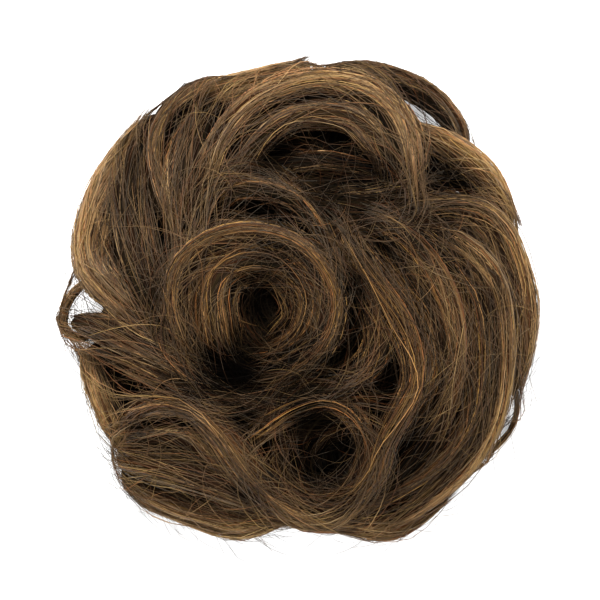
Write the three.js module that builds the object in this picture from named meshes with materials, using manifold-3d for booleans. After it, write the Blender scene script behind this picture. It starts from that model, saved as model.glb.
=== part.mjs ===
// A top knot hairpiece: an elastic loop with a sewn weft of hair round it, dressed in curled and swept locks.
// Millimetres, +Z up. It lies on the side that sits on the head. The origin is on that side's plane, under the
// middle of the outline seen from above, and +Y is the top of that view.
import * as THREE from "three";
import { mergeVertices } from "three/addons/utils/BufferGeometryUtils.js";
import Module from "manifold-3d";

const wasm = await Module();
wasm.setup();

// The whole hairpiece
const BUN_RADIUS = 70;
const BUN_HEIGHT = 56;
const CROWN_REACH_SHARE = 1.08; // where the crown's curve would meet the floor, in bun radii

// The elastic loop and the weft sewn round it
const LOOP_RADIUS = 18.5;
const ELASTIC_THICKNESS = 3;
const ELASTIC_WIDTH = 8;
const WEFT_THICKNESS = 2.4;
const WEFT_WIDTH = 11;
const EDGE_ROUND = 0.8;
const RING_SIDES = 24;

// The bed of hair that the locks lie on, closed over the hollow for the wearer's own hair
const BED_RADIUS = 50;
const BED_SINK = 17; // how far its top lies under the crown
const HOLLOW_RADIUS = 19.5;
const HOLLOW_HEIGHT = 30;

// The locks
const TOP_THICKNESS = 9.5;
const DEEP_THICKNESS = 8;
const RIM_THICKNESS = 19;
const SKIRT_THICKNESS = 21;
const WISP_THICKNESS = 4.5;
const GAP = 0.3; // between any two pieces
const STEP = 9; // along a lock, from one section to the next
const LOCK_SIDES = 8;
const UNDERSIDE_SHARE = 0.75; // depth of a section's underside against its crowned top

const HAIR = {
  chestnut: { color: 0x5b4029, roughness: 0.55 },
  golden: { color: 0x7a5836, roughness: 0.5 },
  umber: { color: 0x3d2b1d, roughness: 0.6 },
};
const BLACK_CLOTH = { color: 0x121215, roughness: 0.85 };

// A section of a lock's route: x and y of its middle and its half width in bun radii, and sink, how far its top
// lies under the crown, in bun heights.
const at = (x, y, sink, half) => ({ x, y, sink, half });

// From the topmost lock to the lowest. Each is cut to lie against those before it.
const LOCKS = [
  {
    name: "centre_curl_outer",
    hair: "golden",
    thickness: TOP_THICKNESS,
    route: [
      at(-0.36, -0.27, 0.3, 0.04),
      at(-0.46, -0.16, 0.08, 0.06),
      at(-0.505, 0, 0, 0.065),
      at(-0.475, 0.14, 0, 0.065),
      at(-0.36, 0.24, 0, 0.065),
      at(-0.19, 0.275, 0, 0.065),
      at(-0.01, 0.225, 0, 0.06),
      at(0.105, 0.1, 0, 0.06),
      at(0.14, -0.03, 0.01, 0.06),
      at(0.09, -0.18, 0.03, 0.06),
      at(-0.03, -0.28, 0.1, 0.05),
      at(-0.17, -0.31, 0.24, 0.035),
    ],
  },
  {
    name: "centre_curl_inner",
    hair: "chestnut",
    thickness: TOP_THICKNESS,
    route: [
      at(-0.31, -0.25, 0.36, 0.05),
      at(-0.35, -0.12, 0.12, 0.08),
      at(-0.36, 0.02, 0.05, 0.08),
      at(-0.325, 0.11, 0.04, 0.075),
      at(-0.22, 0.165, 0.04, 0.065),
      at(-0.09, 0.155, 0.05, 0.06),
      at(0.01, 0.075, 0.06, 0.06),
      at(0.045, -0.02, 0.08, 0.06),
      at(0.01, -0.13, 0.11, 0.055),
      at(-0.08, -0.2, 0.18, 0.045),
      at(-0.19, -0.22, 0.32, 0.03),
    ],
  },
  {
    name: "centre_curl_core",
    hair: "umber",
    thickness: DEEP_THICKNESS,
    route: [
      at(-0.25, -0.14, 0.28, 0.03),
      at(-0.27, 0, 0.18, 0.035),
      at(-0.23, 0.08, 0.17, 0.04),
      at(-0.13, 0.095, 0.16, 0.045),
      at(-0.055, 0.03, 0.15, 0.045),
      at(-0.035, -0.05, 0.17, 0.045),
      at(-0.09, -0.13, 0.24, 0.035),
    ],
  },
  {
    name: "diagonal_sweep",
    hair: "golden",
    thickness: TOP_THICKNESS,
    route: [
      at(-0.75, -0.57, 0.22, 0.03),
      at(-0.68, -0.46, 0.1, 0.05),
      at(-0.56, -0.41, 0.04, 0.06),
      at(-0.43, -0.43, 0.01, 0.065),
      at(-0.32, -0.53, 0, 0.075),
      at(-0.23, -0.66, 0, 0.08),
      at(-0.12, -0.78, 0.01, 0.08),
      at(0.02, -0.86, 0.04, 0.07),
      at(0.17, -0.9, 0.1, 0.055),
      at(0.3, -0.88, 0.18, 0.035),
    ],
  },
  {
    name: "s_sweep",
    hair: "golden",
    thickness: TOP_THICKNESS,
    route: [
      at(0.16, 0.35, 0.16, 0.03),
      at(0.21, 0.22, 0.05, 0.05),
      at(0.3, 0.09, 0.02, 0.07),
      at(0.4, -0.05, 0.01, 0.08),
      at(0.46, -0.2, 0.01, 0.07),
      at(0.46, -0.34, 0.02, 0.06),
      at(0.39, -0.47, 0.03, 0.055),
      at(0.33, -0.58, 0.03, 0.055),
      at(0.3, -0.69, 0.03, 0.055),
      at(0.22, -0.78, 0.05, 0.055),
      at(0.09, -0.81, 0.1, 0.05),
      at(-0.03, -0.79, 0.2, 0.035),
    ],
  },
  {
    name: "lower_curl",
    hair: "umber",
    thickness: TOP_THICKNESS,
    route: [
      at(-0.23, -0.58, 0.24, 0.04),
      at(-0.13, -0.51, 0.1, 0.06),
      at(-0.02, -0.44, 0.07, 0.05),
      at(0.1, -0.41, 0.07, 0.045),
      at(0.2, -0.46, 0.07, 0.05),
      at(0.255, -0.57, 0.08, 0.05),
      at(0.23, -0.68, 0.1, 0.05),
      at(0.14, -0.76, 0.12, 0.045),
      at(0.02, -0.76, 0.14, 0.045),
      at(-0.07, -0.68, 0.16, 0.045),
      at(-0.08, -0.57, 0.2, 0.035),
    ],
  },
  {
    name: "top_arch_outer",
    hair: "golden",
    thickness: TOP_THICKNESS,
    route: [
      at(-0.37, 0.35, 0.18, 0.04),
      at(-0.37, 0.5, 0.06, 0.055),
      at(-0.31, 0.66, 0.02, 0.06),
      at(-0.2, 0.79, 0.01, 0.065),
      at(-0.04, 0.87, 0, 0.07),
      at(0.13, 0.89, 0, 0.07),
      at(0.29, 0.85, 0, 0.075),
      at(0.4, 0.75, 0, 0.08),
      at(0.45, 0.62, 0.01, 0.07),
      at(0.46, 0.5, 0.05, 0.05),
      at(0.47, 0.4, 0.12, 0.03),
    ],
  },
  {
    name: "top_arch_inner",
    hair: "chestnut",
    thickness: TOP_THICKNESS,
    route: [
      at(-0.29, 0.36, 0.24, 0.04),
      at(-0.26, 0.5, 0.1, 0.05),
      at(-0.18, 0.63, 0.05, 0.055),
      at(-0.06, 0.73, 0.04, 0.055),
      at(0.08, 0.76, 0.04, 0.06),
      at(0.21, 0.74, 0.03, 0.065),
      at(0.3, 0.66, 0.04, 0.065),
      at(0.35, 0.57, 0.08, 0.05),
      at(0.36, 0.48, 0.15, 0.03),
    ],
  },
  {
    name: "crown_roll",
    hair: "chestnut",
    thickness: TOP_THICKNESS,
    route: [
      at(-0.3, 0.32, 0.26, 0.035),
      at(-0.28, 0.42, 0.12, 0.05),
      at(-0.18, 0.455, 0.08, 0.065),
      at(-0.04, 0.42, 0.08, 0.065),
      at(0.07, 0.31, 0.08, 0.055),
      at(0.14, 0.17, 0.11, 0.04),
      at(0.175, 0.04, 0.18, 0.03),
    ],
  },
  {
    name: "curl_wrap",
    hair: "umber",
    thickness: TOP_THICKNESS,
    route: [
      at(0.22, 0.12, 0.2, 0.03),
      at(0.285, -0.02, 0.09, 0.05),
      at(0.32, -0.15, 0.08, 0.06),
      at(0.27, -0.27, 0.08, 0.065),
      at(0.15, -0.34, 0.1, 0.055),
      at(0, -0.37, 0.13, 0.045),
      at(-0.16, -0.385, 0.18, 0.035),
      at(-0.33, -0.38, 0.22, 0.03),
    ],
  },
  {
    name: "left_tail",
    hair: "chestnut",
    thickness: TOP_THICKNESS,
    route: [
      at(-0.94, -0.1, 0.22, 0.03),
      at(-0.86, -0.1, 0.12, 0.05),
      at(-0.74, -0.14, 0.05, 0.07),
      at(-0.6, -0.2, 0.04, 0.075),
      at(-0.46, -0.28, 0.09, 0.055),
      at(-0.33, -0.34, 0.2, 0.035),
    ],
  },
  {
    name: "left_fan",
    hair: "golden",
    thickness: TOP_THICKNESS,
    route: [
      at(-0.36, 0.83, 0.16, 0.075),
      at(-0.42, 0.69, 0.08, 0.1),
      at(-0.46, 0.54, 0.05, 0.11),
      at(-0.465, 0.41, 0.06, 0.09),
      at(-0.45, 0.29, 0.14, 0.05),
      at(-0.42, 0.19, 0.26, 0.03),
    ],
  },
  {
    name: "upper_left_crest",
    hair: "chestnut",
    thickness: TOP_THICKNESS,
    route: [
      at(-0.29, 0.9, 0.16, 0.025),
      at(-0.39, 0.88, 0.08, 0.05),
      at(-0.5, 0.805, 0.06, 0.06),
      at(-0.575, 0.7, 0.04, 0.055),
      at(-0.595, 0.58, 0.04, 0.05),
      at(-0.57, 0.46, 0.05, 0.05),
      at(-0.53, 0.35, 0.09, 0.045),
      at(-0.5, 0.25, 0.2, 0.03),
    ],
  },
  {
    name: "left_inner_lock",
    hair: "chestnut",
    thickness: TOP_THICKNESS,
    route: [
      at(-0.59, 0.77, 0.16, 0.04),
      at(-0.67, 0.64, 0.1, 0.065),
      at(-0.695, 0.5, 0.08, 0.08),
      at(-0.69, 0.35, 0.07, 0.09),
      at(-0.66, 0.2, 0.07, 0.09),
      at(-0.61, 0.06, 0.08, 0.08),
      at(-0.54, -0.07, 0.12, 0.055),
      at(-0.46, -0.17, 0.22, 0.03),
    ],
  },
  {
    name: "right_band_upper",
    hair: "chestnut",
    thickness: TOP_THICKNESS,
    route: [
      at(0.24, 0.26, 0.18, 0.03),
      at(0.33, 0.3, 0.06, 0.05),
      at(0.43, 0.24, 0.03, 0.06),
      at(0.52, 0.12, 0.02, 0.065),
      at(0.59, -0.02, 0.02, 0.065),
      at(0.625, -0.17, 0.03, 0.06),
      at(0.62, -0.33, 0.05, 0.055),
      at(0.58, -0.47, 0.1, 0.05),
      at(0.51, -0.58, 0.18, 0.035),
    ],
  },
  {
    name: "right_band_slip",
    hair: "umber",
    thickness: DEEP_THICKNESS,
    route: [
      at(0.34, 0.21, 0.16, 0.03),
      at(0.4, 0.11, 0.08, 0.04),
      at(0.49, -0.02, 0.06, 0.045),
      at(0.54, -0.16, 0.07, 0.045),
      at(0.55, -0.29, 0.09, 0.045),
      at(0.5, -0.42, 0.12, 0.045),
      at(0.43, -0.53, 0.18, 0.035),
    ],
  },
  {
    name: "right_band_middle",
    hair: "umber",
    thickness: TOP_THICKNESS,
    route: [
      at(0.51, 0.2, 0.18, 0.03),
      at(0.63, 0.11, 0.09, 0.05),
      at(0.7, -0.01, 0.06, 0.06),
      at(0.725, -0.16, 0.06, 0.06),
      at(0.72, -0.31, 0.06, 0.06),
      at(0.69, -0.46, 0.07, 0.06),
      at(0.62, -0.6, 0.08, 0.06),
      at(0.51, -0.71, 0.1, 0.055),
      at(0.38, -0.79, 0.13, 0.045),
      at(0.26, -0.85, 0.2, 0.03),
    ],
  },
  {
    name: "right_band_outer",
    hair: "golden",
    thickness: TOP_THICKNESS,
    route: [
      at(0.43, 0.25, 0.2, 0.035),
      at(0.55, 0.26, 0.09, 0.055),
      at(0.68, 0.19, 0.06, 0.07),
      at(0.78, 0.07, 0.04, 0.07),
      at(0.815, -0.08, 0.04, 0.065),
      at(0.82, -0.24, 0.04, 0.06),
      at(0.805, -0.4, 0.04, 0.06),
      at(0.76, -0.55, 0.05, 0.06),
      at(0.67, -0.69, 0.06, 0.06),
      at(0.55, -0.8, 0.08, 0.06),
      at(0.42, -0.885, 0.1, 0.055),
      at(0.29, -0.93, 0.16, 0.035),
    ],
  },
  {
    name: "top_right_band",
    hair: "golden",
    thickness: TOP_THICKNESS,
    route: [
      at(0.44, 0.69, 0.18, 0.035),
      at(0.55, 0.66, 0.08, 0.055),
      at(0.66, 0.6, 0.05, 0.06),
      at(0.76, 0.52, 0.06, 0.055),
      at(0.83, 0.41, 0.09, 0.045),
      at(0.87, 0.31, 0.16, 0.03),
    ],
  },
  {
    name: "right_crest",
    hair: "golden",
    thickness: RIM_THICKNESS,
    route: [
      at(0.36, 0.33, 0.22, 0.035),
      at(0.47, 0.365, 0.12, 0.055),
      at(0.6, 0.385, 0.08, 0.065),
      at(0.72, 0.345, 0.07, 0.075),
      at(0.8, 0.25, 0.07, 0.08),
      at(0.85, 0.135, 0.06, 0.075),
      at(0.89, 0.01, 0.06, 0.07),
      at(0.895, -0.13, 0.06, 0.065),
      at(0.885, -0.27, 0.08, 0.05),
      at(0.86, -0.39, 0.12, 0.035),
    ],
  },
  {
    name: "arch_under",
    hair: "chestnut",
    thickness: TOP_THICKNESS,
    route: [
      at(-0.75, -0.6, 0.2, 0.03),
      at(-0.67, -0.55, 0.12, 0.05),
      at(-0.56, -0.52, 0.08, 0.055),
      at(-0.44, -0.53, 0.07, 0.05),
      at(-0.35, -0.62, 0.08, 0.045),
      at(-0.27, -0.73, 0.13, 0.035),
    ],
  },
  {
    name: "lower_left_leaf",
    hair: "chestnut",
    thickness: TOP_THICKNESS,
    route: [
      at(-0.755, -0.67, 0.2, 0.03),
      at(-0.65, -0.685, 0.08, 0.065),
      at(-0.51, -0.705, 0.04, 0.09),
      at(-0.35, -0.75, 0.05, 0.08),
      at(-0.21, -0.82, 0.1, 0.05),
      at(-0.1, -0.88, 0.2, 0.03),
    ],
  },
  {
    name: "left_tail_lower",
    hair: "umber",
    thickness: DEEP_THICKNESS,
    route: [
      at(-0.86, -0.19, 0.2, 0.025),
      at(-0.73, -0.24, 0.12, 0.045),
      at(-0.6, -0.29, 0.1, 0.055),
      at(-0.46, -0.345, 0.13, 0.05),
      at(-0.3, -0.395, 0.17, 0.045),
      at(-0.13, -0.42, 0.18, 0.045),
      at(0.04, -0.4, 0.16, 0.05),
      at(0.2, -0.385, 0.15, 0.055),
      at(0.35, -0.42, 0.2, 0.035),
    ],
  },
  {
    name: "left_outer_lock",
    hair: "golden",
    thickness: RIM_THICKNESS,
    route: [
      at(-0.6, 0.74, 0.16, 0.04),
      at(-0.7, 0.595, 0.08, 0.065),
      at(-0.77, 0.45, 0.05, 0.085),
      at(-0.81, 0.31, 0.04, 0.09),
      at(-0.83, 0.195, 0.04, 0.085),
      at(-0.805, 0.09, 0.04, 0.075),
      at(-0.72, 0, 0.06, 0.065),
      at(-0.61, -0.09, 0.12, 0.05),
    ],
  },
  {
    name: "lower_left_outer",
    hair: "golden",
    thickness: RIM_THICKNESS,
    route: [
      at(-0.74, -0.69, 0.18, 0.03),
      at(-0.66, -0.75, 0.09, 0.06),
      at(-0.54, -0.79, 0.06, 0.08),
      at(-0.38, -0.845, 0.06, 0.08),
      at(-0.24, -0.895, 0.06, 0.07),
      at(-0.12, -0.885, 0.1, 0.05),
      at(-0.02, -0.85, 0.18, 0.03),
    ],
  },
  {
    name: "bottom_lock",
    hair: "chestnut",
    thickness: RIM_THICKNESS,
    route: [
      at(0.63, -0.765, 0.2, 0.035),
      at(0.48, -0.87, 0.1, 0.055),
      at(0.34, -0.93, 0.08, 0.06),
      at(0.18, -0.91, 0.08, 0.05),
      at(0.03, -0.91, 0.1, 0.045),
      at(-0.08, -0.87, 0.18, 0.03),
    ],
  },
  {
    name: "top_right_rim",
    hair: "chestnut",
    thickness: RIM_THICKNESS,
    route: [
      at(0.03, 0.9, 0.16, 0.035),
      at(0.2, 0.935, 0.08, 0.045),
      at(0.36, 0.92, 0.07, 0.045),
      at(0.5, 0.865, 0.06, 0.042),
      at(0.605, 0.78, 0.06, 0.04),
      at(0.655, 0.68, 0.1, 0.04),
      at(0.65, 0.59, 0.16, 0.03),
    ],
  },
  {
    name: "top_back_lock",
    hair: "golden",
    thickness: RIM_THICKNESS,
    route: [
      at(-0.46, 0.72, 0.22, 0.045),
      at(-0.34, 0.81, 0.12, 0.07),
      at(-0.21, 0.855, 0.09, 0.065),
      at(-0.07, 0.905, 0.09, 0.055),
      at(0.05, 0.965, 0.12, 0.03),
    ],
  },
  {
    name: "lower_left_back",
    hair: "chestnut",
    thickness: RIM_THICKNESS,
    route: [
      at(-0.87, -0.19, 0.16, 0.03),
      at(-0.85, -0.3, 0.1, 0.045),
      at(-0.8, -0.41, 0.08, 0.055),
      at(-0.75, -0.515, 0.09, 0.06),
      at(-0.68, -0.62, 0.14, 0.045),
    ],
  },
  {
    name: "hollow_lock_front",
    hair: "umber",
    thickness: DEEP_THICKNESS,
    route: [
      at(0.05, 0.39, 0.26, 0.03),
      at(0.16, 0.42, 0.16, 0.045),
      at(0.29, 0.42, 0.13, 0.055),
      at(0.42, 0.45, 0.12, 0.055),
      at(0.54, 0.47, 0.14, 0.045),
      at(0.66, 0.48, 0.2, 0.03),
    ],
  },
  {
    name: "hollow_lock_back",
    hair: "umber",
    thickness: DEEP_THICKNESS,
    route: [
      at(-0.21, 0.48, 0.3, 0.03),
      at(-0.08, 0.53, 0.22, 0.045),
      at(0.07, 0.56, 0.2, 0.05),
      at(0.21, 0.54, 0.2, 0.05),
      at(0.34, 0.5, 0.24, 0.035),
    ],
  },
  {
    name: "right_hollow_lock",
    hair: "umber",
    thickness: DEEP_THICKNESS,
    route: [
      at(0.46, 0.6, 0.3, 0.03),
      at(0.58, 0.55, 0.22, 0.045),
      at(0.69, 0.5, 0.2, 0.05),
      at(0.79, 0.42, 0.22, 0.04),
    ],
  },
  {
    name: "lower_right_core",
    hair: "umber",
    thickness: DEEP_THICKNESS,
    route: [
      at(0.6, -0.5, 0.24, 0.03),
      at(0.51, -0.57, 0.18, 0.05),
      at(0.44, -0.65, 0.17, 0.06),
      at(0.36, -0.74, 0.2, 0.045),
      at(0.25, -0.8, 0.26, 0.03),
    ],
  },
  {
    name: "lower_curl_core",
    hair: "umber",
    thickness: DEEP_THICKNESS,
    route: [
      at(0.19, -0.51, 0.3, 0.03),
      at(0.1, -0.54, 0.26, 0.045),
      at(0.05, -0.61, 0.27, 0.045),
      at(0.09, -0.69, 0.34, 0.03),
    ],
  },
  {
    name: "left_loop",
    hair: "golden",
    thickness: WISP_THICKNESS,
    route: [
      at(-0.86, 0.1, 0.2, 0.025),
      at(-0.94, 0.06, 0.16, 0.03),
      at(-0.99, -0.02, 0.13, 0.028),
      at(-1, -0.11, 0.13, 0.024),
      at(-0.95, -0.165, 0.16, 0.022),
      at(-0.87, -0.165, 0.22, 0.022),
    ],
  },
  {
    name: "right_loop",
    hair: "golden",
    thickness: WISP_THICKNESS,
    route: [
      at(0.89, -0.36, 0.2, 0.022),
      at(0.91, -0.46, 0.17, 0.02),
      at(0.89, -0.55, 0.16, 0.022),
      at(0.82, -0.62, 0.17, 0.026),
      at(0.74, -0.67, 0.22, 0.024),
    ],
  },
];

// The looped locks under the rim: where each leaves the weft and comes back to it, in degrees counted from +X
// towards +Y, and how far out it reaches, in bun radii.
const loop = (from, to, reach) => ({ from, to, reach });
const SKIRT_LOOPS = [
  loop(-18, 40, 0.87),
  loop(34, 84, 0.86),
  loop(78, 128, 0.86),
  loop(122, 172, 0.84),
  loop(168, 228, 0.85),
  loop(212, 264, 0.9),
  loop(256, 302, 0.86),
  loop(296, 346, 0.87),
];
const SKIRT_FOOT_SHARE = 0.5; // where a loop's ends lie, in bun radii
const SKIRT_WIDTH_SHARE = 0.1;

/** How high the crown's surface lies over the floor at a place given in bun radii. */
function crownHeight(x, y) {
  return BUN_HEIGHT * Math.sqrt(Math.max(0, 1 - (x * x + y * y) / CROWN_REACH_SHARE ** 2));
}

/** The crown's outward direction at a place given in bun radii, kept a little short of level. */
function crownNormal(x, y) {
  const flattest = 0.3;
  const height = Math.max(flattest, crownHeight(x, y) / BUN_HEIGHT);
  const slope = BUN_HEIGHT / BUN_RADIUS / (CROWN_REACH_SHARE ** 2 * height);
  return new THREE.Vector3(x * slope, y * slope, 1).normalize();
}

/** A closed geometry through rings of as many points each, with a point at either end. */
function loftedGeometry(first, rings, last) {
  const sides = rings[0].length;
  const points = [first, ...rings.flat(), last];
  const end = points.length - 1;
  const faces = [];
  for (let side = 0; side < sides; side++) {
    const next = (side + 1) % sides;
    faces.push(0, 1 + next, 1 + side);
    for (let ring = 0; ring + 1 < rings.length; ring++) {
      const [a, b] = [1 + ring * sides + side, 1 + ring * sides + next];
      faces.push(a, b, b + sides, a, b + sides, a + sides);
    }
    faces.push(end, end - sides + side, end - sides + next);
  }
  return new THREE.BufferGeometry().setFromPoints(points).setIndex(faces);
}

/** A lock as a tapered sweep along its route, made larger on every side by grow. */
function lockGeometry({ route, thickness }, grow = 0) {
  const widest = Math.max(...route.map((row) => row.half));
  const middle = new THREE.CatmullRomCurve3(
    route.map(({ x, y, sink, half }) => {
      const slimness = Math.sqrt(half / widest);
      const z = crownHeight(x, y) - sink * BUN_HEIGHT - (thickness / 2) * slimness;
      return new THREE.Vector3(x * BUN_RADIUS, y * BUN_RADIUS, z);
    }),
    false,
    "catmullrom",
  );
  const width = new THREE.CatmullRomCurve3(
    route.map((row) => new THREE.Vector3(row.half, 0, 0)),
    false,
    "catmullrom",
  );
  const steps = Math.max(route.length, Math.round(middle.getLength() / STEP));
  const rings = [];
  const ends = [];
  for (let step = 0; step <= steps; step++) {
    const t = step / steps;
    const centre = middle.getPoint(t);
    const tangent = middle.getTangent(t);
    const normal = crownNormal(centre.x / BUN_RADIUS, centre.y / BUN_RADIUS);
    normal.addScaledVector(tangent, -normal.dot(tangent)).normalize();
    const across = new THREE.Vector3().crossVectors(normal, tangent);
    const half = width.getPoint(t).x;
    const halfWidth = half * BUN_RADIUS;
    const halfDepth = Math.min((thickness / 2) * Math.sqrt(half / widest), halfWidth * 1.6);
    rings.push(
      Array.from({ length: LOCK_SIDES }, (_, side) => {
        const turn = (2 * Math.PI * (side + 0.5)) / LOCK_SIDES;
        const up = Math.sin(turn) * halfDepth * (Math.sin(turn) < 0 ? UNDERSIDE_SHARE : 1);
        return centre
          .clone()
          .addScaledVector(across, Math.cos(turn) * halfWidth + Math.sign(Math.cos(turn)) * grow)
          .addScaledVector(normal, up + Math.sign(up) * grow);
      }),
    );
    if (step === 0 || step === steps) {
      const tip = step === 0 ? -1 : 1;
      ends.push(centre.clone().addScaledVector(tangent, tip * (halfDepth / 2 + grow)));
    }
  }
  return loftedGeometry(ends[0], rings, ends[1]);
}

/** A looped lock of the skirt as a lock, whose middle runs out from the weft, round and back. */
function skirtLock({ from, to, reach }) {
  const rows = 6;
  const route = [];
  for (let row = 0; row <= rows; row++) {
    const share = row / rows;
    const bulge = Math.sin(Math.PI * share) ** 0.7;
    const angle = THREE.MathUtils.degToRad(THREE.MathUtils.lerp(from, to, share));
    const out = SKIRT_FOOT_SHARE + (reach - SKIRT_WIDTH_SHARE - SKIRT_FOOT_SHARE) * bulge;
    const [x, y] = [out * Math.cos(angle), out * Math.sin(angle)];
    const top = SKIRT_THICKNESS * 0.95;
    const sink = (crownHeight(x, y) - top) / BUN_HEIGHT;
    route.push(at(x, y, sink, SKIRT_WIDTH_SHARE * (0.45 + 0.55 * bulge)));
  }
  return { thickness: SKIRT_THICKNESS, route };
}

/** A closed geometry turned about the upright axis from a profile of radii and heights. */
function turned(profile) {
  const points = profile.map(([radius, height]) => new THREE.Vector2(radius, height));
  return new THREE.LatheGeometry(points, RING_SIDES).rotateX(Math.PI / 2);
}

/** A ring with a rounded oblong section, from its inner radius outwards and from the floor up. */
function ringGeometry(inner, thickness, width) {
  const round = Math.min(EDGE_ROUND, thickness / 3);
  const [near, far] = [inner, inner + thickness];
  const profile = [
    [near, 0],
    [far, 0],
    [far, width - round],
    [far - round, width],
    [near + round, width],
    [near, width - round],
    [near, 0],
  ];
  return turned(profile);
}

/** The bed's outside as a domed puck under the crown, made larger on every side by grow. */
function bedGeometry(grow = 0) {
  const brim = BED_RADIUS / BUN_RADIUS;
  const shoulder = crownHeight(brim, 0) - BED_SINK;
  const profile = [
    [0, -grow],
    [BED_RADIUS * 0.92 + grow, -grow],
    [BED_RADIUS + grow, shoulder * 0.35],
    [BED_RADIUS + grow, shoulder * 0.8],
  ];
  for (const share of [0.92, 0.7, 0.45, 0.2]) {
    profile.push([share * BED_RADIUS, crownHeight(share * brim, 0) - BED_SINK + grow]);
  }
  profile.push([0, crownHeight(0, 0) - BED_SINK + grow]);
  return turned(profile);
}

/** The hollow over the loop that the wearer's own hair fills, wider at its mouth where the weft sits. */
function hollowGeometry() {
  const mouth = LOOP_RADIUS + ELASTIC_THICKNESS + WEFT_THICKNESS + 2 * GAP;
  const profile = [
    [0, -GAP],
    [mouth, -GAP],
    [mouth, WEFT_WIDTH + GAP],
    [HOLLOW_RADIUS, WEFT_WIDTH + 2 * GAP],
    [HOLLOW_RADIUS, HOLLOW_HEIGHT * 0.75],
    [HOLLOW_RADIUS * 0.7, HOLLOW_HEIGHT],
    [0, HOLLOW_HEIGHT],
  ];
  return turned(profile);
}

/** A closed geometry as a solid that can be joined and cut. */
function solidOf(geometry) {
  const bare = geometry.clone();
  bare.deleteAttribute("normal");
  bare.deleteAttribute("uv");
  const merged = mergeVertices(bare, 1e-4);
  const solid = new wasm.Manifold(
    new wasm.Mesh({
      numProp: 3,
      vertProperties: merged.getAttribute("position").array,
      triVerts: new Uint32Array(merged.index.array),
    }),
  );
  return solid;
}

/** A solid's largest body, as cutting can leave crumbs beside it. */
function largestBody(solid) {
  const bodies = solid.decompose();
  return bodies.reduce((best, body) => (body.volume() > best.volume() ? body : best));
}

/** A solid as a named mesh in its finish. */
function meshOf(name, solid, finish) {
  const { numProp, vertProperties, triVerts } = solid.getMesh();
  const points = [];
  for (let i = 0; i < vertProperties.length; i += numProp) {
    points.push(new THREE.Vector3().fromArray(vertProperties, i));
  }
  const geometry = new THREE.BufferGeometry().setFromPoints(points).setIndex([...triVerts]);
  geometry.computeVertexNormals();
  const mesh = new THREE.Mesh(geometry, new THREE.MeshStandardMaterial(finish));
  mesh.name = name;
  return mesh;
}

/** True if the boxes round two solids meet. */
function boxesMeet(a, b) {
  const [p, q] = [a.boundingBox(), b.boundingBox()];
  return [0, 1, 2].every((k) => p.min[k] < q.max[k] && q.min[k] < p.max[k]);
}

/** A solid with its share of each of the others taken away. */
function clearedOf(solid, others) {
  return others
    .filter((other) => boxesMeet(solid, other))
    .reduce((left, other) => left.subtract(other), solid);
}

const hairpiece = new THREE.Group();
hairpiece.name = "top_knot_hairpiece";

const slab = 4 * BUN_RADIUS;
const floor = solidOf(new THREE.BoxGeometry(slab, slab, slab).translate(0, 0, -slab / 2));
const weftRadius = LOOP_RADIUS + ELASTIC_THICKNESS + GAP;
const elastic = solidOf(ringGeometry(LOOP_RADIUS, ELASTIC_THICKNESS, ELASTIC_WIDTH));
const weft = solidOf(ringGeometry(weftRadius, WEFT_THICKNESS, WEFT_WIDTH));
hairpiece.add(meshOf("elastic_loop", elastic, BLACK_CLOTH));
hairpiece.add(meshOf("weft_band", weft, BLACK_CLOTH));

const skirt = SKIRT_LOOPS.map(skirtLock);
const bed = skirt
  .reduce((whole, lock) => whole.add(solidOf(lockGeometry(lock))), solidOf(bedGeometry()))
  .subtract(solidOf(hollowGeometry()))
  .subtract(floor);
hairpiece.add(meshOf("hair_bed", bed, HAIR.umber));

const taken = [bedGeometry(GAP), ...skirt.map((lock) => lockGeometry(lock, GAP))].map(solidOf);
for (const lock of LOCKS) {
  const shape = solidOf(lockGeometry(lock)).subtract(floor);
  hairpiece.add(meshOf(lock.name, largestBody(clearedOf(shape, taken)), HAIR[lock.hair]));
  taken.push(solidOf(lockGeometry(lock, GAP)));
}

const outline = new THREE.Box3().setFromObject(hairpiece);
hairpiece.position.set(-(outline.min.x + outline.max.x) / 2, -(outline.min.y + outline.max.y) / 2, 0);

export default hairpiece;
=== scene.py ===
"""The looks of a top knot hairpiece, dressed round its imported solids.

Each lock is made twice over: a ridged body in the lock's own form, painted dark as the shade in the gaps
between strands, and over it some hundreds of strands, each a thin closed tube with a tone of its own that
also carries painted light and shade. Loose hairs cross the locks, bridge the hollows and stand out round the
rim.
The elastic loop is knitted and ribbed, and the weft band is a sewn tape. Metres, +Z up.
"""

import logging
import math
from dataclasses import dataclass, field
from enum import Enum

import bpy
import numpy as np
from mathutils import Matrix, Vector


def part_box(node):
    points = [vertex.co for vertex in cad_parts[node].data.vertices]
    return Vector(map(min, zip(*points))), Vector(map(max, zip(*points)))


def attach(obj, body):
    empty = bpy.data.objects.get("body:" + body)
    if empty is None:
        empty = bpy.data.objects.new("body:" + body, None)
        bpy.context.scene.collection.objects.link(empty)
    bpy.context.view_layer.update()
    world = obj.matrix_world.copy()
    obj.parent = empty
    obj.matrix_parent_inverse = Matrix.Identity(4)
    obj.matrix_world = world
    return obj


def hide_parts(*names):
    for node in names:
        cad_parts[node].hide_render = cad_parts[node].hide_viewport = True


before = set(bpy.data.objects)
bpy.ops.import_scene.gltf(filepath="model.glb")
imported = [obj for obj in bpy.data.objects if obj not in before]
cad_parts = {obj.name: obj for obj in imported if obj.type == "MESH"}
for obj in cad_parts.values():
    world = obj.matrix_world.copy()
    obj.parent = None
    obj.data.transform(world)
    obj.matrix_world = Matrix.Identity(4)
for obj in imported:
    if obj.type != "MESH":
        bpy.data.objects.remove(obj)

LOG = logging.getLogger("top_knot_hairpiece")
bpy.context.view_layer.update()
MM = 0.001
SEED = 24

# The whole hairpiece
BUN_RADIUS = 70 * MM
BUN_HEIGHT = 56 * MM
CROWN_REACH = 1.08  # where the crown's curve would meet the floor, in bun radii
UNDERSIDE = 0.75  # depth of a lock's underside against its crowned top

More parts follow.
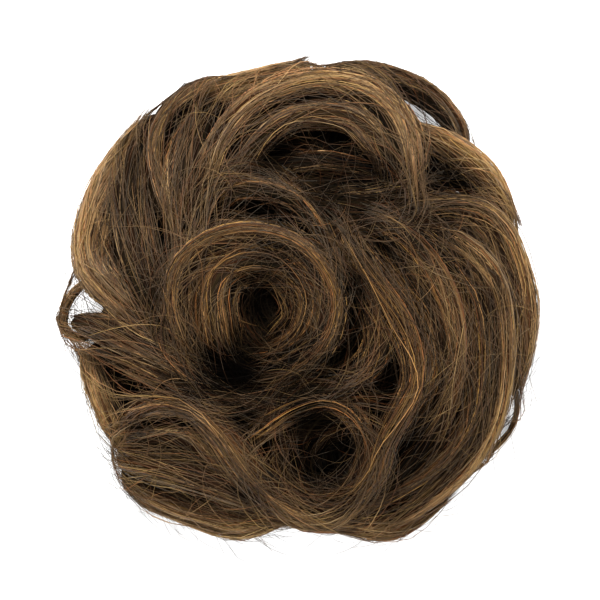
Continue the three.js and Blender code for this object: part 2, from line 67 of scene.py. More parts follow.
# The locks
TOP_THICKNESS = 9.5 * MM
DEEP_THICKNESS = 8 * MM
RIM_THICKNESS = 19 * MM
SKIRT_THICKNESS = 21 * MM
WISP_THICKNESS = 4.5 * MM

# The bed of hair, the hollow in it, the elastic loop and the weft band
BED_RADIUS = 50 * MM
BED_SINK = 17 * MM
HOLLOW_RADIUS = 19.5 * MM
HOLLOW_HEIGHT = 30 * MM
LOOP_RADIUS = 18.5 * MM
ELASTIC_THICKNESS = 3 * MM
ELASTIC_WIDTH = 8 * MM
WEFT_RADIUS = 21.8 * MM
WEFT_THICKNESS = 2.4 * MM
WEFT_WIDTH = 11 * MM
CLEARANCE = 0.3 * MM  # between the bed and the weft
MOUTH_RADIUS = WEFT_RADIUS + WEFT_THICKNESS + CLEARANCE
SKIRT_FOOT = 0.5  # where a skirt loop's ends lie, in bun radii
SKIRT_HALF_WIDTH = 0.1

# Strands
STRAND_RADIUS = 0.098 * MM
STRAND_SIDES = 3
STRAND_STEP = 8.5 * MM  # along a straight strand, from one ring to the next
STRAND_TURN = math.radians(14)  # round a bend, from one ring to the next
LANES = 0.9  # how wide the sheet is that strands have their lanes on
LOOSE_SHEET = 40 * MM  # how far a loose hair runs down the sheet
OUTER_REACH = 1.12  # no hair lies further out, in bun radii
MATT_BELOW = 0.37  # the tone under which hair is in painted shade and takes the matt shaded copy of the finish, with no shine

LOOP_LOW, LOOP_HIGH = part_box("elastic_loop")
CENTRE = np.array([(LOOP_LOW.x + LOOP_HIGH.x) / 2, (LOOP_LOW.y + LOOP_HIGH.y) / 2, 0.0])
UP = np.array([0.0, 0.0, 1.0])
WHITE = (1.0, 1.0, 1.0, 1.0)


class Shade(Enum):
    """The three tones of the hair, each valued by the name of one of the record's slots."""

    GOLDEN = "hair_golden"
    CHESTNUT = "hair_chestnut"
    UMBER = "hair_umber"


class Cast(Enum):
    """How red a lock's hair is, by the warmth that its finish takes on."""

    ASHEN = -0.2
    PLAIN = 0.55
    RUSSET = 1.7


Row = tuple[float, float, float, float]
Colour = tuple[float, float, float, float]
Stop = tuple[float, Colour]


@dataclass(frozen=True)
class Lock:
    """A lock of hair.

    Each row of its route gives x and y of its middle in bun radii, how far its top lies under the crown in
    bun heights, and its half width in bun radii. A lock's density is its strands for each millimetre round
    it, its looseness is the share of them that stray, its light is how much lighter it is than others of
    its shade, its fullness is how much of its section the body under the strands fills, its lean is how far
    its hair keeps to the left of its route, in half widths, and its cast is how red it is.
    """

    name: str
    shade: Shade
    thickness: float
    route: tuple[Row, ...]
    density: float = 15.3
    looseness: float = 0.06
    light: float = 0.0
    fullness: float = 0.94
    lean: float = 0.0
    cast: Cast = Cast.PLAIN


GOLDEN, CHESTNUT, UMBER = Shade.GOLDEN, Shade.CHESTNUT, Shade.UMBER
TOP, DEEP, RIM, WISP = TOP_THICKNESS, DEEP_THICKNESS, RIM_THICKNESS, WISP_THICKNESS
ASHEN, RUSSET = Cast.ASHEN, Cast.RUSSET

BASE_TONE = {GOLDEN: 0.56, CHESTNUT: 0.47, UMBER: 0.36}

# The finishes: roughness and gloss by shade, screen colours by tone, the tints that vary the strands, and
# each layer of streaks by its fineness, its coarseness down the strand and its weight.
SHINE = {GOLDEN: (0.36, 0.26), CHESTNUT: (0.38, 0.22), UMBER: (0.42, 0.16)}
HAIR_COLOURS = (
    (0.0, (5, 4, 4)),
    (0.2, (21, 17, 14)),
    (0.36, (36, 28, 21)),
    (0.5, (56, 41, 29)),
    (0.72, (94, 72, 48)),
    (1.0, (160, 131, 93)),
)
HAIR_TINTS = (
    (0.34, (0.88, 0.94, 1.0, 1.0)),
    (0.44, (1.0, 0.98, 0.62, 1.0)),
    (0.55, (1.0, 0.96, 0.88, 1.0)),
    (0.68, (1.0, 0.65, 0.46, 1.0)),
)
TINT_STRETCH = (1100.0, 12.0, 1.0)
STREAK_LAYERS = ((1.0, 60.0, 0.6), (0.28, 45.0, 0.4))

# fmt: off
LOCKS = (
    Lock("centre_curl_outer", GOLDEN, TOP, (
        (-0.36, -0.27, 0.3, 0.04), (-0.46, -0.16, 0.08, 0.06), (-0.505, 0, 0, 0.065),
        (-0.475, 0.14, 0, 0.065), (-0.36, 0.24, 0, 0.065), (-0.19, 0.275, 0, 0.065),
        (-0.01, 0.225, 0, 0.06), (0.105, 0.1, 0, 0.06), (0.14, -0.03, 0.01, 0.06),
        (0.09, -0.18, 0.03, 0.06), (-0.03, -0.28, 0.1, 0.05), (-0.17, -0.31, 0.24, 0.035),
    ), density=18, looseness=0.02, light=-0.07, cast=RUSSET),
    Lock("centre_curl_inner", CHESTNUT, TOP, (
        (-0.31, -0.25, 0.36, 0.05), (-0.35, -0.12, 0.12, 0.08), (-0.36, 0.02, 0.05, 0.08),
        (-0.325, 0.11, 0.04, 0.075), (-0.22, 0.165, 0.04, 0.065), (-0.09, 0.155, 0.05, 0.06),
        (0.01, 0.075, 0.06, 0.06), (0.045, -0.02, 0.08, 0.06), (0.01, -0.13, 0.11, 0.055),
        (-0.08, -0.2, 0.18, 0.045), (-0.19, -0.22, 0.32, 0.03),
    ), density=18, looseness=0.03, cast=RUSSET),
    Lock("centre_curl_core", UMBER, DEEP, (
        (-0.25, -0.14, 0.28, 0.03), (-0.27, 0, 0.18, 0.035), (-0.23, 0.08, 0.17, 0.04),
        (-0.13, 0.095, 0.16, 0.045), (-0.055, 0.03, 0.15, 0.045), (-0.035, -0.05, 0.17, 0.045),
        (-0.09, -0.13, 0.24, 0.035),
    )),
    Lock("diagonal_sweep", GOLDEN, TOP, (
        (-0.75, -0.57, 0.22, 0.03), (-0.68, -0.46, 0.1, 0.05), (-0.56, -0.41, 0.04, 0.06),
        (-0.43, -0.43, 0.01, 0.065), (-0.32, -0.53, 0, 0.075), (-0.23, -0.66, 0, 0.08),
        (-0.12, -0.78, 0.01, 0.08), (0.02, -0.86, 0.04, 0.07), (0.17, -0.9, 0.1, 0.055),
        (0.3, -0.88, 0.18, 0.035),
    ), light=-0.04, cast=RUSSET),
    Lock("s_sweep", GOLDEN, TOP, (
        (0.16, 0.35, 0.16, 0.03), (0.21, 0.22, 0.05, 0.05), (0.3, 0.09, 0.02, 0.07),
        (0.4, -0.05, 0.01, 0.08), (0.46, -0.2, 0.01, 0.07), (0.46, -0.34, 0.02, 0.06),
        (0.39, -0.47, 0.03, 0.055), (0.33, -0.58, 0.03, 0.055), (0.3, -0.69, 0.03, 0.055),
        (0.22, -0.78, 0.05, 0.055), (0.09, -0.81, 0.1, 0.05), (-0.03, -0.79, 0.2, 0.035),
    ), light=-0.14, cast=RUSSET),
    Lock("lower_curl", UMBER, TOP, (
        (-0.23, -0.58, 0.24, 0.04), (-0.13, -0.51, 0.1, 0.06), (-0.02, -0.44, 0.07, 0.05),
        (0.1, -0.41, 0.07, 0.045), (0.2, -0.46, 0.07, 0.05), (0.255, -0.57, 0.08, 0.05),
        (0.23, -0.68, 0.1, 0.05), (0.14, -0.76, 0.12, 0.045), (0.02, -0.76, 0.14, 0.045),
        (-0.07, -0.68, 0.16, 0.045), (-0.08, -0.57, 0.2, 0.035),
    ), light=0.06, cast=RUSSET),
    Lock("top_arch_outer", GOLDEN, TOP, (
        (-0.37, 0.35, 0.18, 0.04), (-0.37, 0.5, 0.06, 0.055), (-0.31, 0.66, 0.02, 0.06),
        (-0.2, 0.79, 0.01, 0.065), (-0.04, 0.87, 0, 0.07), (0.13, 0.89, 0, 0.07), (0.29, 0.85, 0, 0.075),
        (0.4, 0.75, 0, 0.08), (0.45, 0.62, 0.01, 0.07), (0.46, 0.5, 0.05, 0.05), (0.47, 0.4, 0.12, 0.03),
    )),
    Lock("top_arch_inner", CHESTNUT, TOP, (
        (-0.29, 0.36, 0.24, 0.04), (-0.26, 0.5, 0.1, 0.05), (-0.18, 0.63, 0.05, 0.055),
        (-0.06, 0.73, 0.04, 0.055), (0.08, 0.76, 0.04, 0.06), (0.21, 0.74, 0.03, 0.065),
        (0.3, 0.66, 0.04, 0.065), (0.35, 0.57, 0.08, 0.05), (0.36, 0.48, 0.15, 0.03),
    )),
    Lock("crown_roll", CHESTNUT, TOP, (
        (-0.3, 0.32, 0.26, 0.035), (-0.28, 0.42, 0.12, 0.05), (-0.18, 0.455, 0.08, 0.065),
        (-0.04, 0.42, 0.08, 0.065), (0.07, 0.31, 0.08, 0.055), (0.14, 0.17, 0.11, 0.04),
        (0.175, 0.04, 0.18, 0.03),
    ), light=-0.1, cast=RUSSET),
    Lock("curl_wrap", UMBER, TOP, (
        (0.22, 0.12, 0.2, 0.03), (0.285, -0.02, 0.09, 0.05), (0.32, -0.15, 0.08, 0.06),
        (0.27, -0.27, 0.08, 0.065), (0.15, -0.34, 0.1, 0.055), (0, -0.37, 0.13, 0.045),
        (-0.16, -0.385, 0.18, 0.035), (-0.33, -0.38, 0.22, 0.03),
    ), light=0.06, cast=RUSSET),
    Lock("left_tail", CHESTNUT, TOP, (
        (-0.94, -0.1, 0.22, 0.03), (-0.86, -0.1, 0.12, 0.05), (-0.74, -0.14, 0.05, 0.07),
        (-0.6, -0.2, 0.04, 0.075), (-0.46, -0.28, 0.09, 0.055), (-0.33, -0.34, 0.2, 0.035),
    ), density=21, light=0.02),
    Lock("left_fan", GOLDEN, TOP, (
        (-0.36, 0.83, 0.16, 0.075), (-0.42, 0.69, 0.08, 0.1), (-0.46, 0.54, 0.05, 0.11),
        (-0.465, 0.41, 0.06, 0.09), (-0.45, 0.29, 0.14, 0.05), (-0.42, 0.19, 0.26, 0.03),
    ), light=-0.1),
    Lock("upper_left_crest", CHESTNUT, TOP, (
        (-0.29, 0.9, 0.16, 0.025), (-0.39, 0.88, 0.08, 0.05), (-0.5, 0.805, 0.06, 0.06),
        (-0.575, 0.7, 0.04, 0.055), (-0.595, 0.58, 0.04, 0.05), (-0.57, 0.46, 0.05, 0.05),
        (-0.53, 0.35, 0.09, 0.045), (-0.5, 0.25, 0.2, 0.03),
    ), light=-0.05),
    Lock("left_inner_lock", CHESTNUT, TOP, (
        (-0.59, 0.77, 0.16, 0.04), (-0.67, 0.64, 0.1, 0.065), (-0.695, 0.5, 0.08, 0.08),
        (-0.69, 0.35, 0.07, 0.09), (-0.66, 0.2, 0.07, 0.09), (-0.61, 0.06, 0.08, 0.08),
        (-0.54, -0.07, 0.12, 0.055), (-0.46, -0.17, 0.22, 0.03),
    ), light=-0.05),
    Lock("right_band_upper", CHESTNUT, TOP, (
        (0.24, 0.26, 0.18, 0.03), (0.33, 0.3, 0.06, 0.05), (0.43, 0.24, 0.03, 0.06),
        (0.52, 0.12, 0.02, 0.065), (0.59, -0.02, 0.02, 0.065), (0.625, -0.17, 0.03, 0.06),
        (0.62, -0.33, 0.05, 0.055), (0.58, -0.47, 0.1, 0.05), (0.51, -0.58, 0.18, 0.035),
    ), light=0.11, cast=RUSSET),
    Lock("right_band_slip", UMBER, DEEP, (
        (0.34, 0.21, 0.16, 0.03), (0.4, 0.11, 0.08, 0.04), (0.49, -0.02, 0.06, 0.045),
        (0.54, -0.16, 0.07, 0.045), (0.55, -0.29, 0.09, 0.045), (0.5, -0.42, 0.12, 0.045),
        (0.43, -0.53, 0.18, 0.035),
    ), light=0.03, cast=RUSSET),
    Lock("right_band_middle", UMBER, TOP, (
        (0.51, 0.2, 0.18, 0.03), (0.63, 0.11, 0.09, 0.05), (0.7, -0.01, 0.06, 0.06),
        (0.725, -0.16, 0.06, 0.06), (0.72, -0.31, 0.06, 0.06), (0.69, -0.46, 0.07, 0.06),
        (0.62, -0.6, 0.08, 0.06), (0.51, -0.71, 0.1, 0.055), (0.38, -0.79, 0.13, 0.045),
        (0.26, -0.85, 0.2, 0.03),
    ), light=0.05, cast=RUSSET),
    Lock("right_band_outer", GOLDEN, TOP, (
        (0.43, 0.25, 0.2, 0.035), (0.55, 0.26, 0.09, 0.055), (0.68, 0.19, 0.06, 0.07),
        (0.78, 0.07, 0.04, 0.07), (0.815, -0.08, 0.04, 0.065), (0.82, -0.24, 0.04, 0.06),
        (0.805, -0.4, 0.04, 0.06), (0.76, -0.55, 0.05, 0.06), (0.67, -0.69, 0.06, 0.06),
        (0.55, -0.8, 0.08, 0.06), (0.42, -0.885, 0.1, 0.055), (0.29, -0.93, 0.16, 0.035),
    ), light=-0.04),
    Lock("top_right_band", GOLDEN, TOP, (
        (0.44, 0.69, 0.18, 0.035), (0.55, 0.66, 0.08, 0.055), (0.66, 0.6, 0.05, 0.06),
        (0.76, 0.52, 0.06, 0.055), (0.83, 0.41, 0.09, 0.045), (0.87, 0.31, 0.16, 0.03),
    ), light=0.08),
    Lock("right_crest", GOLDEN, RIM, (
        (0.36, 0.33, 0.22, 0.035), (0.47, 0.365, 0.12, 0.055), (0.6, 0.385, 0.08, 0.065),
        (0.72, 0.345, 0.07, 0.075), (0.8, 0.25, 0.07, 0.08), (0.85, 0.135, 0.06, 0.075),
        (0.89, 0.01, 0.06, 0.07), (0.895, -0.13, 0.06, 0.065), (0.885, -0.27, 0.08, 0.05),
        (0.86, -0.39, 0.12, 0.035),
    ), light=-0.05),
    Lock("arch_under", CHESTNUT, TOP, (
        (-0.75, -0.6, 0.2, 0.03), (-0.67, -0.55, 0.12, 0.05), (-0.56, -0.52, 0.08, 0.055),
        (-0.44, -0.53, 0.07, 0.05), (-0.35, -0.62, 0.08, 0.045), (-0.27, -0.73, 0.13, 0.035),
    ), density=20, looseness=0.25, light=0.04, fullness=1.0, lean=-0.4, cast=ASHEN),
    Lock("lower_left_leaf", CHESTNUT, TOP, (
        (-0.755, -0.67, 0.2, 0.03), (-0.65, -0.685, 0.08, 0.065), (-0.51, -0.705, 0.04, 0.09),
        (-0.35, -0.75, 0.05, 0.08), (-0.21, -0.82, 0.1, 0.05), (-0.1, -0.88, 0.2, 0.03),
    ), light=0.11, lean=0.15, cast=ASHEN),
    Lock("left_tail_lower", UMBER, DEEP, (
        (-0.86, -0.19, 0.2, 0.025), (-0.73, -0.24, 0.12, 0.045), (-0.6, -0.29, 0.1, 0.055),
        (-0.46, -0.345, 0.13, 0.05), (-0.3, -0.395, 0.17, 0.045), (-0.13, -0.42, 0.18, 0.045),
        (0.04, -0.4, 0.16, 0.05), (0.2, -0.385, 0.15, 0.055), (0.35, -0.42, 0.2, 0.035),
    ), light=0.02, cast=RUSSET),
    Lock("left_outer_lock", GOLDEN, RIM, (
        (-0.6, 0.74, 0.16, 0.04), (-0.7, 0.595, 0.08, 0.065), (-0.77, 0.45, 0.05, 0.085),
        (-0.81, 0.31, 0.04, 0.09), (-0.83, 0.195, 0.04, 0.085), (-0.805, 0.09, 0.04, 0.075),
        (-0.72, 0, 0.06, 0.065), (-0.61, -0.09, 0.12, 0.05),
    ), light=0.03),
    Lock("lower_left_outer", GOLDEN, RIM, (
        (-0.74, -0.69, 0.18, 0.03), (-0.66, -0.75, 0.09, 0.06), (-0.54, -0.79, 0.06, 0.08),
        (-0.38, -0.845, 0.06, 0.08), (-0.24, -0.895, 0.06, 0.07), (-0.12, -0.885, 0.1, 0.05),
        (-0.02, -0.85, 0.18, 0.03),
    ), light=0.05, lean=-0.15, cast=ASHEN),
    Lock("bottom_lock", CHESTNUT, RIM, (
        (0.63, -0.765, 0.2, 0.035), (0.48, -0.87, 0.1, 0.055), (0.34, -0.93, 0.08, 0.06),
        (0.18, -0.91, 0.08, 0.05), (0.03, -0.91, 0.1, 0.045), (-0.08, -0.87, 0.18, 0.03),
    ), light=0.14, cast=RUSSET),
    Lock("top_right_rim", CHESTNUT, RIM, (
        (0.03, 0.9, 0.16, 0.035), (0.2, 0.935, 0.08, 0.045), (0.36, 0.92, 0.07, 0.045),
        (0.5, 0.865, 0.06, 0.042), (0.605, 0.78, 0.06, 0.04), (0.655, 0.68, 0.1, 0.04),
        (0.65, 0.59, 0.16, 0.03),
    ), light=-0.04, lean=0.35),
    Lock("top_back_lock", GOLDEN, RIM, (
        (-0.46, 0.72, 0.22, 0.045), (-0.34, 0.81, 0.12, 0.07), (-0.21, 0.855, 0.09, 0.065),
        (-0.07, 0.905, 0.09, 0.055), (0.05, 0.965, 0.12, 0.03),
    ), light=0.08, lean=0.1),
    Lock("lower_left_back", CHESTNUT, RIM, (
        (-0.87, -0.19, 0.16, 0.03), (-0.85, -0.3, 0.1, 0.045), (-0.8, -0.41, 0.08, 0.055),
        (-0.75, -0.515, 0.09, 0.06), (-0.68, -0.62, 0.14, 0.045),
    ), light=0.17, cast=ASHEN),
    Lock("hollow_lock_front", UMBER, DEEP, (
        (0.05, 0.39, 0.26, 0.03), (0.16, 0.42, 0.16, 0.045), (0.29, 0.42, 0.13, 0.055),
        (0.42, 0.45, 0.12, 0.055), (0.54, 0.47, 0.14, 0.045), (0.66, 0.48, 0.2, 0.03),
    ), light=-0.06, cast=ASHEN),
    Lock("hollow_lock_back", UMBER, DEEP, (
        (-0.21, 0.48, 0.3, 0.03), (-0.08, 0.53, 0.22, 0.045), (0.07, 0.56, 0.2, 0.05),
        (0.21, 0.54, 0.2, 0.05), (0.34, 0.5, 0.24, 0.035),
    ), light=-0.06, cast=ASHEN),
    Lock("right_hollow_lock", UMBER, DEEP, (
        (0.46, 0.6, 0.3, 0.03), (0.58, 0.55, 0.22, 0.045), (0.69, 0.5, 0.2, 0.05),
        (0.79, 0.42, 0.22, 0.04),
    ), fullness=1.15),
    Lock("lower_right_core", UMBER, DEEP, (
        (0.6, -0.5, 0.24, 0.03), (0.51, -0.57, 0.18, 0.05), (0.44, -0.65, 0.17, 0.06),
        (0.36, -0.74, 0.2, 0.045), (0.25, -0.8, 0.26, 0.03),
    ), fullness=1.1, cast=RUSSET),
    Lock("lower_curl_core", UMBER, DEEP, (
        (0.19, -0.51, 0.3, 0.03), (0.1, -0.54, 0.26, 0.045), (0.05, -0.61, 0.27, 0.045),
        (0.09, -0.69, 0.34, 0.03),
    )),
    Lock("left_loop", GOLDEN, WISP, (
        (-0.86, 0.1, 0.2, 0.025), (-0.94, 0.06, 0.16, 0.03), (-0.99, -0.02, 0.13, 0.028),
        (-1, -0.11, 0.13, 0.024), (-0.95, -0.165, 0.16, 0.022), (-0.87, -0.165, 0.22, 0.022),
    ), density=26, looseness=0.4, light=0.1, fullness=0.55, lean=0.5),
    Lock("right_loop", GOLDEN, WISP, (
        (0.89, -0.36, 0.2, 0.022), (0.91, -0.46, 0.17, 0.02), (0.89, -0.55, 0.16, 0.022),
        (0.82, -0.62, 0.17, 0.026), (0.74, -0.67, 0.22, 0.024),
    ), density=22, looseness=0.25, light=0.14, fullness=0.42, lean=0.75),
)
# fmt: on

# Painted shade and painted light in patches: where the hair opens on deep shade its tone is painted darker,
# and where it catches the light it is painted lighter. x, y and radius in bun radii, and the tone lost at the
# middle as painted shade, which is below nought where tone is gained as painted light.
# fmt: off
PAINTED_SHADE_AND_LIGHT = (
    (-0.32, -0.28, 0.1, 0.62), (-0.2, -0.3, 0.08, 0.36), (-0.15, -0.03, 0.1, 0.32), (-0.12, 0.6, 0.1, 0.2),
    (0.12, 0.6, 0.1, 0.04), (0.2, 0.47, 0.1, 0.14), (0.35, 0.53, 0.06, 0.22), (0.09, 0.41, 0.08, 0.18),
    (-0.1, 0.37, 0.08, 0.16), (0.0, 0.1, 0.08, 0.12), (0.06, -0.2, 0.09, 0.28), (0.48, 0.31, 0.09, 0.2),
    (0.58, 0.54, 0.08, 0.2), (0.65, 0.47, 0.06, 0.3), (0.21, 0.06, 0.05, 0.4), (-0.16, -0.43, 0.07, 0.14),
    (0.01, -0.43, 0.1, 0.38), (0.09, -0.67, 0.09, 0.38), (0.22, -0.6, 0.05, 0.25), (0.5, -0.62, 0.11, 0.15),
    (-0.45, -0.4, 0.08, 0.2), (-0.57, 0.06, 0.08, 0.14), (-0.67, -0.52, 0.05, 0.22),
    (-0.62, -0.6, 0.05, 0.04), (0.41, 0.21, 0.08, 0.24), (0.29, 0.29, 0.07, 0.16), (0.6, 0.3, 0.05, 0.16),
    (0.86, -0.25, 0.05, 0.2), (0.79, 0.0, 0.07, 0.16), (-0.57, -0.16, 0.1, 0.1), (-0.2, -0.8, 0.08, 0.2),
    (0.14, -0.06, 0.08, 0.1), (-0.07, -0.25, 0.08, 0.26), (0.56, 0.2, 0.08, 0.12),
    (0.17, -0.42, 0.12, 0.16), (-0.12, 0.17, 0.09, 0.24), (-0.44, -0.8, 0.08, 0.16),
    (0.19, -0.81, 0.07, 0.14), (-0.31, 0.7, 0.06, 0.12), (-0.7, -0.31, 0.09, -0.18),
    (-0.1, -0.56, 0.1, -0.14), (0.31, -0.37, 0.08, -0.1), (0.31, -0.93, 0.08, -0.15),
    (-0.56, 0.31, 0.07, -0.12), (0.57, -0.06, 0.06, -0.12),
)
# fmt: on

# The skirt's looped locks: first and last angle in degrees from +X towards +Y, and their reach in bun radii.
SKIRT_LOOPS = (
    (-18, 40, 0.87),
    (34, 84, 0.86),
    (78, 128, 0.86),
    (122, 172, 0.84),
    (168, 228, 0.85),
    (212, 264, 0.9),
    (256, 302, 0.86),
    (296, 346, 0.87),
)


def unit(vectors: np.ndarray) -> np.ndarray:
    """The vectors along the last axis, each divided by its own length."""
    return vectors / np.maximum(np.linalg.norm(vectors, axis=-1, keepdims=True), 1e-12)


def crown_height(x: np.ndarray, y: np.ndarray) -> np.ndarray:
    """The crown's height over the floor: an ellipsoid's cap.

    Args:
        x: Places along +X, in bun radii from the loop's middle.
        y: Places along +Y, in bun radii.

    Returns:
        The height, which is the bun's height times the root of one less the squared share of the crown's
        reach.
    """
    return BUN_HEIGHT * np.sqrt(np.maximum(0.0, 1 - (x * x + y * y) / CROWN_REACH**2))


def crown_normal(x: np.ndarray, y: np.ndarray) -> np.ndarray:
    """The crown's outward direction at a place in bun radii: the slope of its cap, kept short of level."""
    height = np.maximum(0.3, crown_height(x, y) / BUN_HEIGHT)
    slope = BUN_HEIGHT / BUN_RADIUS / (CROWN_REACH**2 * height)
    return unit(np.stack([x * slope, y * slope, np.ones_like(x)], -1))


def smooth_route(rows: np.ndarray, count: int) -> np.ndarray:
    """A Catmull-Rom curve through rows of numbers.

    Between two rows the curve is the cubic whose slope at each row is half the step between its neighbours.

    Args:
        rows: One row for each section, any number of columns.
        count: How many rows to give back, evenly spaced in the curve's own measure.

    Returns:
        The rows along the curve.
    """
    padded = np.vstack([2 * rows[0] - rows[1], rows, 2 * rows[-1] - rows[-2]])
    place = np.linspace(0, len(rows) - 1, count)
    start = np.minimum(place.astype(int), len(rows) - 2)
    w = (place - start)[:, None]
    before, here, there, after = (padded[start + k] for k in range(4))
    leave, arrive = 0.5 * (there - before), 0.5 * (after - here)
    square = 3 * (there - here) - 2 * leave - arrive
    cube = 2 * (here - there) + leave + arrive
    return here + w * (leave + w * (square + w * cube))


def polar(radius: np.ndarray, turn: np.ndarray, height: np.ndarray) -> np.ndarray:
    """Places about the loop's axis, from a radius, an angle and a height that broadcast together."""
    return np.stack(np.broadcast_arrays(radius * np.cos(turn), radius * np.sin(turn), height), -1) + CENTRE


def place_object(name: str, data: bpy.types.ID) -> bpy.types.Object:
    """Puts a mesh, a lamp or a camera into the scene, at the origin."""
    made = bpy.data.objects.new(name, data)
    bpy.context.scene.collection.objects.link(made)
    return made


def build_mesh(
    name: str,
    points: np.ndarray,
    corners: np.ndarray,
    sizes: np.ndarray,
    materials: tuple[bpy.types.Material, ...],
) -> bpy.types.Mesh:
    """A smooth mesh from arrays.

    Args:
        name: Its name.
        points: Its vertices.
        corners: The vertex at each corner, face after face.
        sizes: How many corners each face has.
        materials: Its finishes. Every face takes the first.

    Returns:
        The mesh.
    """
    mesh = bpy.data.meshes.new(name)
    mesh.vertices.add(len(points))
    mesh.vertices.foreach_set("co", points.astype(np.float32).ravel())
    mesh.loops.add(len(corners))
    mesh.loops.foreach_set("vertex_index", corners.astype(np.int32))
    mesh.polygons.add(len(sizes))
    mesh.polygons.foreach_set("loop_start", (np.cumsum(sizes) - sizes).astype(np.int32))
    for material in materials:
        mesh.materials.append(material)
    mesh.update(calc_edges=True)
    mesh.shade_smooth()
    return mesh


def finish_piece(piece: bpy.types.Object, node: str = "") -> None:
    """Hides the solid that a piece stands for, attaches the piece to the root body and reports it: its
    triangles are its corners less twice its faces.

    Args:
        piece: The piece.
        node: The solid that it stands for, if there is one.
    """
    if node:
        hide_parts(node)
    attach(piece, "root")
    LOG.info("%s: %d triangles", piece.name, len(piece.data.loops) - 2 * len(piece.data.polygons))


@dataclass
class HairMesh:
    """Closed tubes gathered into one mesh, with what the finish reads at each vertex."""

    points: list[np.ndarray] = field(default_factory=list)
    sheets: list[np.ndarray] = field(default_factory=list)
    tones: list[np.ndarray] = field(default_factory=list)
    corners: list[np.ndarray] = field(default_factory=list)
    sizes: list[np.ndarray] = field(default_factory=list)
    finishes: list[np.ndarray] = field(default_factory=list)
    count: int = 0

    def add_tubes(
        self, rings: np.ndarray, across: np.ndarray, along: np.ndarray, tone: np.ndarray, matt: bool = False
    ) -> None:
        """Adds closed tubes through rings of points, with a flat face at either end.

        Faces whose tone is low, in painted shade, take the second material, the matt shaded copy of the hair
        with no shine, and the others take the first.

        Args:
            rings: Points by tube, ring, side and coordinate, counted anticlockwise seen from the far end.
            across: The sheet coordinate round each ring, broadcast to tube, ring and side.
            along: The sheet coordinate down each tube, broadcast likewise.
            tone: The tone, broadcast likewise.
            matt: Whether every face is matt, whatever its tone.
        """
        shape = rings.shape[:3]
        index = self.count + np.arange(np.prod(shape)).reshape(shape)
        beside = np.roll(index, -1, axis=2)
        walls = np.stack([index[:, :-1], beside[:, :-1], beside[:, 1:], index[:, 1:]], -1)
        caps = np.concatenate([index[:, 0, ::-1], index[:, -1]])
        across, along, tone = (np.broadcast_to(values, shape) for values in (across, along, tone))
        self.points.append(rings.reshape(-1, 3))
        self.sheets.append(np.stack([across, along], -1).reshape(-1, 2))
        self.tones.append(tone.ravel())
        self.corners += [walls.ravel(), caps.ravel()]
        self.sizes += [np.full(walls.size // 4, 4), np.full(len(caps), shape[2])]
        deep = [tone[:, :-1].ravel(), tone[:, 0, 0], tone[:, -1, 0]]
        self.finishes.append((np.concatenate(deep) < MATT_BELOW) | matt)
        self.count += index.size

    def to_object(self, name: str, *materials: bpy.types.Material) -> bpy.types.Object:
        """The gathered tubes as an object in the scene.

        Args:
            name: The piece's name.
            materials: The finish of its strands, and the matt finish for the hair under them and the hair in
                painted shade, if it has any.

        Returns:
            The object, at the origin, with its place in its mesh.
        """
        corners = np.concatenate(self.corners)
        mesh = build_mesh(name, np.concatenate(self.points), corners, np.concatenate(self.sizes), materials)
        if len(materials) > 1:
            mesh.polygons.foreach_set("material_index", np.concatenate(self.finishes).astype(np.int32))
        sheet = np.concatenate(self.sheets)[corners].astype(np.float32)
        mesh.uv_layers.new(name="sheet").data.foreach_set("uv", sheet.ravel())
        tone = mesh.attributes.new("tone", "FLOAT", "POINT")
        tone.data.foreach_set("value", np.concatenate(self.tones).astype(np.float32))
        return place_object(name, mesh)


def strand_rings(paths: np.ndarray, radius: np.ndarray, up: np.ndarray) -> np.ndarray:
    """Thin tubes along paths, drawn in to a point at both ends.

    Each ring lies across its path, on two directions square to it, the second as near up as it can be.

    Args:
        paths: Points by strand, step and coordinate.
        radius: Each strand's radius.
        up: A direction broadcast to the paths, never along them.

    Returns:
        The rings by strand, step, side and coordinate.
    """
    tangent = unit(np.gradient(paths, axis=1))
    rise = unit(up - (up * tangent).sum(-1, keepdims=True) * tangent)
    side = np.cross(rise, tangent)
    share = np.linspace(0, 1, paths.shape[1])
    taper = np.clip(np.minimum(share, 1 - share) * 7, 0.25, 1)
    reach = radius[:, None, None] * taper[None, :, None]
    turns = 2 * math.pi * (np.arange(STRAND_SIDES) + 0.25) / STRAND_SIDES
    return np.stack([paths + reach * (math.cos(a) * side + math.sin(a) * rise) for a in turns], axis=2)


def wander(rng: np.random.Generator, count: int, steps: int, waves: float) -> np.ndarray:
    """Slow random waves between -1 and 1: for each strand, the mean of two sines of its own pace."""
    share = np.linspace(0, 1, steps)[None, :]
    total = np.zeros((count, steps))
    for pace in (1.0, 2.3):
        rate = rng.uniform(0.4, 1.0, (count, 1)) * waves * pace
        total += np.sin(2 * math.pi * (rate * share + rng.uniform(0, 1, (count, 1))))
    return total / 2


def half_in_light(rng: np.random.Generator, count: int) -> np.ndarray:
    """For each strand, how much of a patch's painted shade it takes: some are left lighter, as if they caught
    the light, and the rest lie deep.
    """
    return rng.choice([0.6, 1.3], (count, 1), p=[0.4, 0.6])


